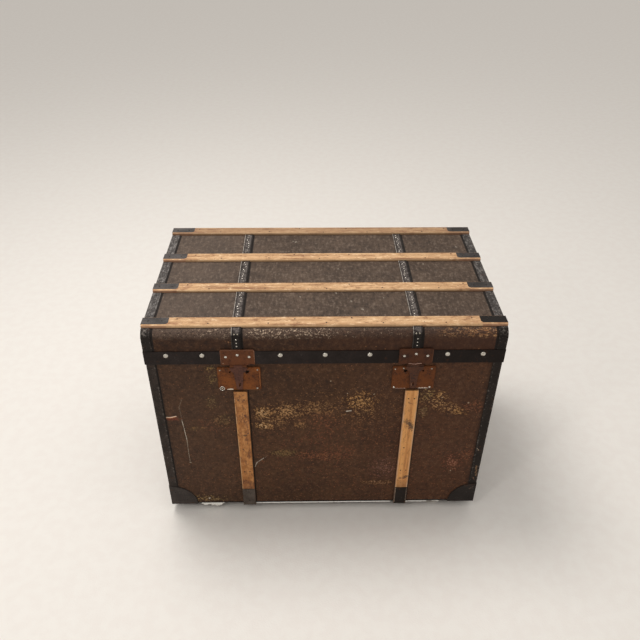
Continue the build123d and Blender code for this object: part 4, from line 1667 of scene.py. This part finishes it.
@dataclass
class LidShell:
    """The lid: boards, canvas and lining."""

    def build(self, shop: Workshop) -> None:
        """Paint the lid's boards and skins.

        Args:
            shop: The workshop.
        """
        made = shop.finishes
        shop.paint(made.boards, "lid_top_board", "lid_front_rail", "lid_back_rail")
        shop.paint(made.end_boards, "lid_left_end_board", "lid_right_end_board")
        shop.paint(made.lid_canvas, "lid_canvas")
        shop.paint(made.paper, "lid_lining")


@dataclass
class Bindings:
    """Sheet iron on the ends and corners, the lid's band, and the nails that hold them."""

    flange_middle: float = 0.0095
    corner_sheet: float = 0.0019
    corner_nails: tuple[Spot, ...] = ((0.01, 0.012), (0.04, 0.014), (0.012, 0.044))
    post_nails: tuple[float, float, float] = (0.112, 0.492, 0.03)
    foot_nails: tuple[float, float, float] = (-0.162, 0.162, 0.036)
    end_shift: float = 0.012
    lid_gaps: tuple[Spot, ...] = ((-0.182, -0.098), (-0.042, 0.042), (0.098, 0.182))
    lid_pitch: float = 0.028
    lid_face_nails: Spot = (0.551, 0.567)
    bead_reach: float = 0.0662
    bead_radius: float = 0.0011
    bead_start: float = 1.5
    bead_turn: float = 87
    bead_steps: int = 20
    dome_places: tuple[float, ...] = (TRUNK.lock_offset - 0.099, TRUNK.lock_offset + 0.074, 0.352)
    dome_pitch: float = 0.127
    dome: NailHead = NailHead(0.0061, 0.0043, 24, 7)
    tack: NailHead = NailHead(0.0016, 0.0007, 8, 2)

    def build(self, shop: Workshop) -> None:
        """Paint the irons, and add their nails and the protectors' beads.

        Args:
            shop: The workshop.
        """
        made = shop.finishes
        for side in Side:
            word = side.word
            shop.paint(made.binding, f"body_binding_{word}")
            shop.paint(made.lid_binding, f"lid_binding_{word}")
            shop.paint(made.protector, f"corner_protector_front_{word}", f"corner_protector_back_{word}")
            tacks = self._body_tacks(side.value)
            shop.nail(f"body_binding_nails_{word}", self.tack, tacks, made.nail_iron, Body.CARCASS)
            tacks = self._lid_tacks(side.value)
            shop.nail(f"lid_binding_nails_{word}", self.tack, tacks, made.nail_iron, Body.LID)
            for row, facing in (("front", -1), ("back", 1)):
                beads = self._beads(side.value, facing)
                shop.add(f"corner_bead_{row}_{word}", beads, made.iron, Body.CARCASS)
        shop.paint(made.band, "lid_band", "lid_back_strip")
        shop.paint(made.band_nail, "band_nails")
        piece = shop.nail("band_dome_nails", self.dome, self._band_domes(), made.band_nail, Body.LID)
        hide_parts("band_nails")

    def _band_domes(self) -> list[Seat]:
        """The seats of the bright domes on the lid's band.

        Returns:
            The nails' seats.
        """
        places = [0.0, *(hand * x for x in self.dome_places for hand in (-1, 1))]
        seats: list[Seat] = [((x, -TRUNK.band_face, TRUNK.dome_height), (0, -1, 0)) for x in places]
        for hand in (-1, 1):
            for step in (-1.5, -0.5, 0.5, 1.5):
                foot = (hand * TRUNK.band_end, step * self.dome_pitch, TRUNK.dome_height)
                seats.append((foot, (hand, 0, 0)))
        return seats

    def _body_tacks(self, hand: int) -> list[Seat]:
        """The seats of the nails in one end's body binding and corner protectors.

        Args:
            hand: -1 for the left end and 1 for the right one.

        Returns:
            The nails' seats.
        """
        out = (hand, 0, 0)
        end = hand * (TRUNK.body_end + TRUNK.sheet)
        flange = hand * (TRUNK.body_end - self.flange_middle)
        seats: list[Seat] = []
        for facing in (-1, 1):
            plane = facing * (TRUNK.body_face + TRUNK.sheet)
            inset = facing * (TRUNK.body_face - self.flange_middle)
            for z in spaced(*self.post_nails):
                seats += [((flange, plane, z), (0, facing, 0)), ((end, inset, z + self.end_shift), out)]
        seats += [((end, y, TRUNK.bottom + self.flange_middle), out) for y in spaced(*self.foot_nails)]
        end = hand * (TRUNK.body_end + self.corner_sheet)
        for facing in (-1, 1):
            plane = facing * (TRUNK.body_face + self.corner_sheet)
            for inset, rise in self.corner_nails:
                z = TRUNK.bottom + rise
                seats.append(((hand * (TRUNK.body_end - inset), plane, z), (0, facing, 0)))
                seats.append(((end, facing * (TRUNK.body_face - inset), z), out))
        return seats

    def _lid_tacks(self, hand: int) -> list[Seat]:
        """The seats of the nails in one end's lid binding, clear of the slats.

        Args:
            hand: -1 for the left end and 1 for the right one.

        Returns:
            The nails' seats.
        """
        flange = hand * (TRUNK.lid_end - self.flange_middle)
        end = hand * (TRUNK.lid_end + TRUNK.sheet)
        seats: list[Seat] = []
        for start, stop in self.lid_gaps:
            for y in spaced(start, stop, self.lid_pitch):
                seats.append(((flange, y, TRUNK.lid_top + TRUNK.sheet), (0, 0, 1)))
                seats.append(((end, y, TRUNK.lid_top - self.flange_middle), (hand, 0, 0)))
        for facing in (-1, 1):
            plane = facing * (TRUNK.lid_face + TRUNK.sheet)
            seats += [((flange, plane, z), (0, facing, 0)) for z in self.lid_face_nails]
        return seats

    def _beads(self, hand: int, facing: int) -> bmesh.types.BMesh:
        """The rolled beads along the two round edges of one corner protector.

        Args:
            hand: -1 for the left end and 1 for the right one.
            facing: -1 for the front and 1 for the back.

        Returns:
            The beads' mesh.
        """
        mesh = bmesh.new()
        corner = Vector((hand * TRUNK.body_end, facing * TRUNK.body_face, TRUNK.bottom))
        up = Vector((0, 0, 1))
        flats = (
            (Vector((-hand, 0, 0)), Vector((0, facing * self.corner_sheet, 0))),
            (Vector((0, -facing, 0)), Vector((hand * self.corner_sheet, 0, 0))),
        )
        angles = [
            math.radians(self.bead_start + self.bead_turn * step / self.bead_steps)
            for step in range(self.bead_steps + 1)
        ]
        for inward, lift in flats:
            path = [
                corner + lift + self.bead_reach * (inward * math.cos(a) + up * math.sin(a))
                for a in angles
            ]
            add_tube(mesh, path, self.bead_radius)
        return mesh


@dataclass
class Slats:
    """The wooden slats, their clips and straps, and the nails in them."""

    rows: tuple[float, ...] = (-0.21045, -0.07015, 0.07015, 0.21045)
    row_nails: tuple[float, float, float] = (-0.33, 0.33, 0.066)
    strap_clear: float = 0.012
    nail_lines: Spot = (0.0085, -0.0095)
    nail_stray: Spot = (0.009, 0.002)
    single_nail: float = 0.237
    single_aside: tuple[float, ...] = (-0.0045,)
    pair_aside: tuple[float, ...] = (-0.0065, 0.0072)
    upright_nails: tuple[tuple[int, tuple[float, ...]], ...] = (
        (-1, (0.4005, 0.237, 0.155)), (1, (0.405, 0.27, 0.14))
    )
    foot_nails: Spot = (0.044, 0.078)
    clip_nails: Spot = (0.388, 0.358)
    clip_aside: float = 0.0018
    clip_outer: float = 0.4021
    clip_drop: float = 0.019
    strap: float = 0.0018
    strap_pitch: float = 0.0108
    strap_end: float = 0.022
    strap_stray: Spot = (0.0034, 0.002)
    bend_lean: float = math.radians(34.0)
    bend_aside: Spot = (-0.004, 0.0036)
    low_drops: tuple[float, ...] = (0.0, 0.009, 0.018)
    slat_nail: NailHead = NailHead(0.0019, 0.0005, 9, 2)
    clip_nail: NailHead = NailHead(0.002, 0.0008, 9, 2)
    strap_nail: NailHead = NailHead(0.0019, 0.001, 8, 2)

    def build(self, shop: Workshop) -> None:
        """Paint slats, clips and straps, and drive their nails.

        Args:
            shop: The workshop.
        """
        made = shop.finishes
        chance = random.Random(5)
        along, across = self.nail_stray
        for number, row in enumerate(self.rows, start=1):
            shop.paint(made.top_slats, f"top_slat_{number}")
            seats = []
            for step, x in enumerate(spaced(*self.row_nails)):
                if abs(abs(x) - TRUNK.lock_offset) < self.strap_clear:
                    continue
                y = row + (self.nail_lines[step % 2] + chance.uniform(-across, across))
                seats.append(((x + chance.uniform(-along, along), y, TRUNK.slat_top), (0, 0, 1)))
            shop.nail(f"top_slat_nails_{number}", self.slat_nail, seats, made.nail_iron, Body.LID)
        for side in Side:
            self._dress_side(shop, side)
        shop.paint(made.foot_clip, "slat_foot_clips")

    def _dress_side(self, shop: Workshop, side: Side) -> None:
        """Paint the upright slats, strap and clips of one side, and nail them.

        Args:
            shop: The workshop.
            side: The side.
        """
        made, word, middle = shop.finishes, side.word, side.middle
        shop.paint(made.upright_slats, f"front_slat_{word}", f"back_slat_{word}")
        shop.paint(made.strap, f"lid_strap_{word}")
        shop.paint(made.clip, f"slat_end_clips_{word}")
        chance = random.Random(17 + side.value)
        iron, worn = made.nail_iron, made.strap_nail
        for name, head, seats, finish, body in (
            ("upright_slat_nails", self.slat_nail, self._upright(middle), iron, Body.CARCASS),
            ("foot_clip_nails", self.clip_nail, self._feet(middle), iron, Body.CARCASS),
            ("clip_nails", self.clip_nail, self._clips(side.value), iron, Body.LID),
            ("strap_top_nails", self.strap_nail, self._strap_top(middle, chance), worn, Body.LID),
            ("strap_bend_nails", self.strap_nail, self._strap_bend(middle), made.dull, Body.LID),
            ("strap_low_nails", self.strap_nail, self._strap_low(middle), worn, Body.LID),
        ):
            shop.nail(f"{name}_{word}", head, seats, finish, body)

    def _upright(self, middle: float) -> list[Seat]:
        """The seats of the nails in one side's upright slats.

        Args:
            middle: The slats' place along the trunk.

        Returns:
            The nails' seats.
        """
        return [
            ((middle + aside, facing * TRUNK.slat_face, z), (0, facing, 0))
            for facing, heights in self.upright_nails
            for z in heights
            for aside in (self.single_aside if z == self.single_nail else self.pair_aside)
        ]

    def _feet(self, middle: float) -> list[Seat]:
        """The seats of the nails in one side's foot clips."""
        plane = TRUNK.slat_face + TRUNK.sheet
        return [((middle, facing * plane, z), (0, facing, 0)) for facing in (-1, 1) for z in self.foot_nails]

    def _clips(self, hand: int) -> list[Seat]:
        """The seats of the nails in the clips at one end of the lid's slats.

        Args:
            hand: -1 for the left end and 1 for the right one.

        Returns:
            The nails' seats.
        """
        seats: list[Seat] = []
        for y in (row + self.clip_aside for row in self.rows):
            seats += [((hand * x, y, TRUNK.slat_top), (0, 0, 1)) for x in self.clip_nails]
            seats.append(((hand * self.clip_outer, y, TRUNK.slat_top - self.clip_drop), (hand, 0, 0)))
        return seats

    def _strap_top(self, middle: float, chance: random.Random) -> list[Seat]:
        """The seats of the nails along the top of one strap, a little out of line.

        Args:
            middle: The strap's place along the trunk.
            chance: The source of their unevenness.

        Returns:
            The nails' seats.
        """
        seats = []
        aside, along = self.strap_stray
        for before, after in zip(self.rows, self.rows[1:]):
            for y in spaced(before + self.strap_end, after - self.strap_end, self.strap_pitch):
                x = middle + chance.uniform(-aside, aside)
                foot = (x, y + chance.uniform(-along, along), TRUNK.lid_top + self.strap)
                seats.append((foot, (0, 0, 1)))
        return seats

    def _strap_bend(self, middle: float) -> list[Seat]:
        """The seats of the pairs of nails on the round edges of one strap.

        Args:
            middle: The strap's place along the trunk.

        Returns:
            The nails' seats.
        """
        seats = []
        level = TRUNK.lid_top - TRUNK.edge_round
        for facing in (-1, 1):
            out = Vector((0, facing * math.cos(self.bend_lean), math.sin(self.bend_lean)))
            for aside in self.bend_aside:
                centre = Vector((middle + aside, facing * (TRUNK.lid_face - TRUNK.edge_round), level))
                seats.append((centre + out * (TRUNK.edge_round + self.strap), out))
        return seats

    def _strap_low(self, middle: float) -> list[Seat]:
        """The seats of the nails down the front of one strap."""
        plane, start = -TRUNK.lid_face - self.strap, TRUNK.lid_top - TRUNK.edge_round
        return [((middle, plane, start - drop), (0, -1, 0)) for drop in self.low_drops]


@dataclass
class Locks:
    """The two locks and their hasps, with rivets, washers, and dark discs set in the bores as painted shade.
    """

    case_face: float = -0.245
    plate_face: float = -0.2461
    plate_rivets: tuple[Spot, ...] = ((-0.026, 0.527), (0.0, 0.5325), (0.026, 0.527))
    bores: tuple[Spot, ...] = ((0.02, 0.0021), (-0.0195, 0.0038))
    bore_height: float = 0.483
    bore_rise: float = 0.0004
    bore_sides: int = 14
    washer: Spot = (-0.0405, 0.4345)
    washer_reach: float = 0.0052
    washer_radius: float = 0.0008
    washer_gap: float = 0.0003
    washer_steps: int = 28
    rivet: NailHead = NailHead(0.0034, 0.0016, 14, 3)
    case_rivet: NailHead = NailHead(0.0021, 0.001, 12, 3)
    low_rivet: NailHead = NailHead(0.0026, 0.0012, 12, 3)
    upper: Mapping[Side, tuple[Spot, ...]] = field(
        default_factory=lambda: {
            Side.LEFT: ((-0.042, 0.4882), (0.0425, 0.4888)),
            Side.RIGHT: ((-0.0435, 0.4882), (0.039, 0.4888), (-0.0245, 0.4905)),
        }
    )
    lower: Mapping[Side, tuple[Spot, ...]] = field(
        default_factory=lambda: {
            Side.LEFT: ((-0.0405, 0.4345), (0.04, 0.4345)),
            Side.RIGHT: ((-0.0432, 0.434), (0.0392, 0.434)),
        }
    )

    def build(self, shop: Workshop) -> None:
        """Paint the locks and hasps, and add what is riveted to them.

        Args:
            shop: The workshop.
        """
        made = shop.finishes
        for side in Side:
            word = side.word
            shop.paint(made.rust, f"lock_case_{word}")
            shop.paint(made.plate, f"hasp_plate_{word}")
            shop.paint(made.hasp, f"hasp_{word}", f"hasp_pin_{word}")
            low = made.bright if side is Side.RIGHT else made.dull
            for name, head, plane, spots, finish, body in (
                ("hasp_plate_rivets", self.rivet, self.plate_face, self.plate_rivets, made.bright, Body.LID),
                ("lock_rivets", self.case_rivet, self.case_face, self.upper[side], made.dull, Body.CARCASS),
                ("lock_low_rivets", self.low_rivet, self.case_face, self.lower[side], low, Body.CARCASS),
            ):
                seats = [((side.middle + aside, plane, z), (0, -1, 0)) for aside, z in spots]
                shop.nail(f"{name}_{word}", head, seats, finish, body)
            # Dark discs in the bores stand in for the shade inside them.
            bores = bmesh.new()
            for aside, radius in self.bores:
                foot = (side.middle + side.value * aside, -TRUNK.body_face, self.bore_height)
                add_dome(bores, (foot, (0, -1, 0)), NailHead(radius, self.bore_rise, self.bore_sides))
            shop.add(f"lock_bores_{word}", bores, made.nail_iron, Body.CARCASS)
        self._add_washer(shop)

    def _add_washer(self, shop: Workshop) -> None:
        """Add the bright washer round the left lock's lower rivet.

        Args:
            shop: The workshop.
        """
        mesh = bmesh.new()
        aside, height = self.washer
        centre = Vector((Side.LEFT.middle + aside, self.case_face - self.washer_gap, height))
        angles = [2 * math.pi * step / self.washer_steps for step in range(self.washer_steps)]
        path = [centre + self.washer_reach * Vector((math.cos(a), 0, math.sin(a))) for a in angles]
        add_tube(mesh, path, self.washer_radius, closed=True)
        shop.add("lock_washer", mesh, shop.finishes.bright, Body.CARCASS)


@dataclass
class BackAndEnds:
    """The hinges at the back and the drop handles on the ends, with their rivets."""

    body_leaf: float = 0.2425
    lid_leaf: float = 0.2438
    leaf_half: float = 0.014
    body_heights: tuple[float, ...] = (0.459, 0.481, 0.502)
    lid_heights: tuple[float, ...] = (0.537, 0.556)
    plate_face: float = 0.4005
    handle_z: float = 0.358
    boss_nails: tuple[Spot, ...] = tuple((y, z) for y in (-0.066, 0.066) for z in (-0.007, 0.007))
    plate_nails: tuple[Spot, ...] = tuple((y, z) for y in (-0.026, 0.0, 0.026) for z in (-0.0145, 0.0145))
    rivet: NailHead = NailHead(0.003, 0.0013, 12, 3)

    def build(self, shop: Workshop) -> None:
        """Paint hinges and handles, and add their rivets.

        Args:
            shop: The workshop.
        """
        made = shop.finishes
        shop.paint(made.iron, "hinge_body_leaves", "hinge_lid_leaves")
        shop.paint(made.dull, "hinge_pins")
        for side in Side:
            word, hand = side.word, side.value
            shop.paint(made.iron, f"handle_plate_{word}", f"handle_{word}")
            seats = [
                ((hand * self.plate_face, y, self.handle_z + dz), (hand, 0, 0))
                for y, dz in self.boss_nails + self.plate_nails
            ]
            shop.nail(f"handle_plate_nails_{word}", self.rivet, seats, made.nail_iron, Body.CARCASS)
        for name, plane, heights, body in (
            ("hinge_body_rivets", self.body_leaf, self.body_heights, Body.CARCASS),
            ("hinge_lid_rivets", self.lid_leaf, self.lid_heights, Body.LID),
        ):
            seats = [
                ((side.middle + aside, plane, z), (0, 1, 0))
                for side in Side
                for aside in (-self.leaf_half, self.leaf_half)
                for z in heights
            ]
            shop.nail(name, self.rivet, seats, made.nail_iron, body)


@dataclass
class Underside:
    """The runners, brackets, axles and wheels under the bottom."""

    def build(self, shop: Workshop) -> None:
        """Paint what lies under the trunk.

        Args:
            shop: The workshop.
        """
        made = shop.finishes
        shop.paint(made.runners, "bottom_runners")
        shop.paint(made.iron, "caster_brackets")
        shop.paint(made.dull, "caster_axles")
        for side in Side:
            shop.paint(made.wheels, f"caster_wheel_front_{side.word}", f"caster_wheel_back_{side.word}")


@dataclass(frozen=True)
class Lamp:
    """A round soft lamp that points at the trunk: its place, diameter and power."""

    name: str
    place: Point
    size: float
    watts: float


@dataclass
class Studio:
    """The floor, the soft light and the camera."""

    camera_place: Point = (-0.037075, -1.383286, 1.443007)
    field_of_view: float = 51.908
    pitch: float = 35.6607
    yaw: float = 1.2614
    roll: float = 0.40685
    sensor: float = 36.0
    floor_half: float = 20.0
    sky: Spot = (0.2, 0.84)
    sky_seen: Shade = shade(222, 215, 203)
    warm: Point = (1.0, 0.99, 0.975)
    aim: Point = (0.0, 0.0, 0.35)
    lamps: tuple[Lamp, ...] = (
        Lamp("key", (-0.75, 0.45, 2.9), 1.2, 42.0),
        Lamp("glint", (-0.95, -1.35, 1.75), 0.22, 4.0),
    )

    def build(self) -> None:
        """Lay the floor, set the light and place the camera."""
        bpy.context.scene.view_settings.view_transform = "Standard"
        self._floor()
        self._world()
        for lamp in self.lamps:
            self._hang(lamp)
        self._camera()

    def _floor(self) -> None:
        """Lay the pale floor."""
        mesh = bmesh.new()
        half = self.floor_half
        spots = [(-half, -half), (half, -half), (half, half), (-half, half)]
        mesh.faces.new([mesh.verts.new((x, y, 0.0)) for x, y in spots])
        data = bpy.data.meshes.new("floor")
        mesh.to_mesh(data)
        mesh.free()
        data.materials.append(StudioFloor().material())
        floor = bpy.data.objects.new("floor", data)
        bpy.context.scene.collection.objects.link(floor)

    def _world(self) -> None:
        """Give the world a soft light that grows overhead, and a pale look where the camera sees it."""
        world = bpy.data.worlds.new("soft_sky")
        world.use_nodes = True
        nodes = Nodes(world.node_tree)
        ways = nodes.node("ShaderNodeTexCoord", output="Generated")
        rise = nodes.node("ShaderNodeSeparateXYZ", sockets={0: ways}, output="Z")
        low, high = self.sky
        strength = nodes.node("ShaderNodeMapRange", sockets={0: rise, 1: 0.0, 2: 1.0, 3: low, 4: high})
        lit = nodes.node("ShaderNodeBackground", sockets={"Color": (*self.warm, 1.0), "Strength": strength})
        seen = nodes.node("ShaderNodeBackground", sockets={"Color": self.sky_seen})
        straight = nodes.node("ShaderNodeLightPath", output="Is Camera Ray")
        glossy = nodes.node("ShaderNodeLightPath", output="Is Glossy Ray")
        choice = nodes.node("ShaderNodeMixShader", sockets={0: straight.most(glossy), 1: lit, 2: seen})
        nodes.node("ShaderNodeOutputWorld", sockets={"Surface": choice})
        bpy.context.scene.world = world

    def _hang(self, lamp: Lamp) -> None:
        """Hang a lamp.

        Args:
            lamp: The lamp.
        """
        light = bpy.data.lights.new(lamp.name, "AREA")
        light.shape = "DISK"
        light.size = lamp.size
        light.energy = lamp.watts
        light.color = self.warm
        hung = bpy.data.objects.new(lamp.name, light)
        turn = (Vector(self.aim) - Vector(lamp.place)).to_track_quat("-Z", "Y")
        hung.matrix_world = Matrix.Translation(lamp.place) @ turn.to_matrix().to_4x4()
        bpy.context.scene.collection.objects.link(hung)

    def _camera(self) -> None:
        """Place the camera at the photo's viewing angle."""
        pitch, yaw, roll = (math.radians(angle) for angle in (self.pitch, self.yaw, self.roll))
        ahead = Vector((math.sin(yaw) * math.cos(pitch), math.cos(yaw) * math.cos(pitch), -math.sin(pitch)))
        level = Vector((math.cos(yaw), -math.sin(yaw), 0.0))
        above = level.cross(ahead)
        right = math.cos(roll) * level + math.sin(roll) * above
        up = -math.sin(roll) * level + math.cos(roll) * above
        data = bpy.data.cameras.new("camera")
        data.sensor_fit = "AUTO"
        data.sensor_width = self.sensor
        data.lens = self.sensor / 2 / math.tan(math.radians(self.field_of_view) / 2)
        camera = bpy.data.objects.new("camera", data)
        turn = Matrix((right, up, -ahead)).transposed()
        camera.matrix_world = Matrix.Translation(self.camera_place) @ turn.to_4x4()
        bpy.context.scene.collection.objects.link(camera)
        bpy.context.scene.camera = camera


def main() -> None:
    """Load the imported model, dress it and set the studio."""
    logging.basicConfig(level=logging.INFO, format="%(message)s")
    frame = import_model()
    shop = Workshop(frame["nodes"])
    for assembly in (Carcass(), LidShell(), Bindings(), Slats(), Locks(), BackAndEnds(), Underside()):
        LOG.info("building %s", type(assembly).__name__)
        assembly.build(shop)
    Studio().build()


if __name__ == "__main__":
    main()
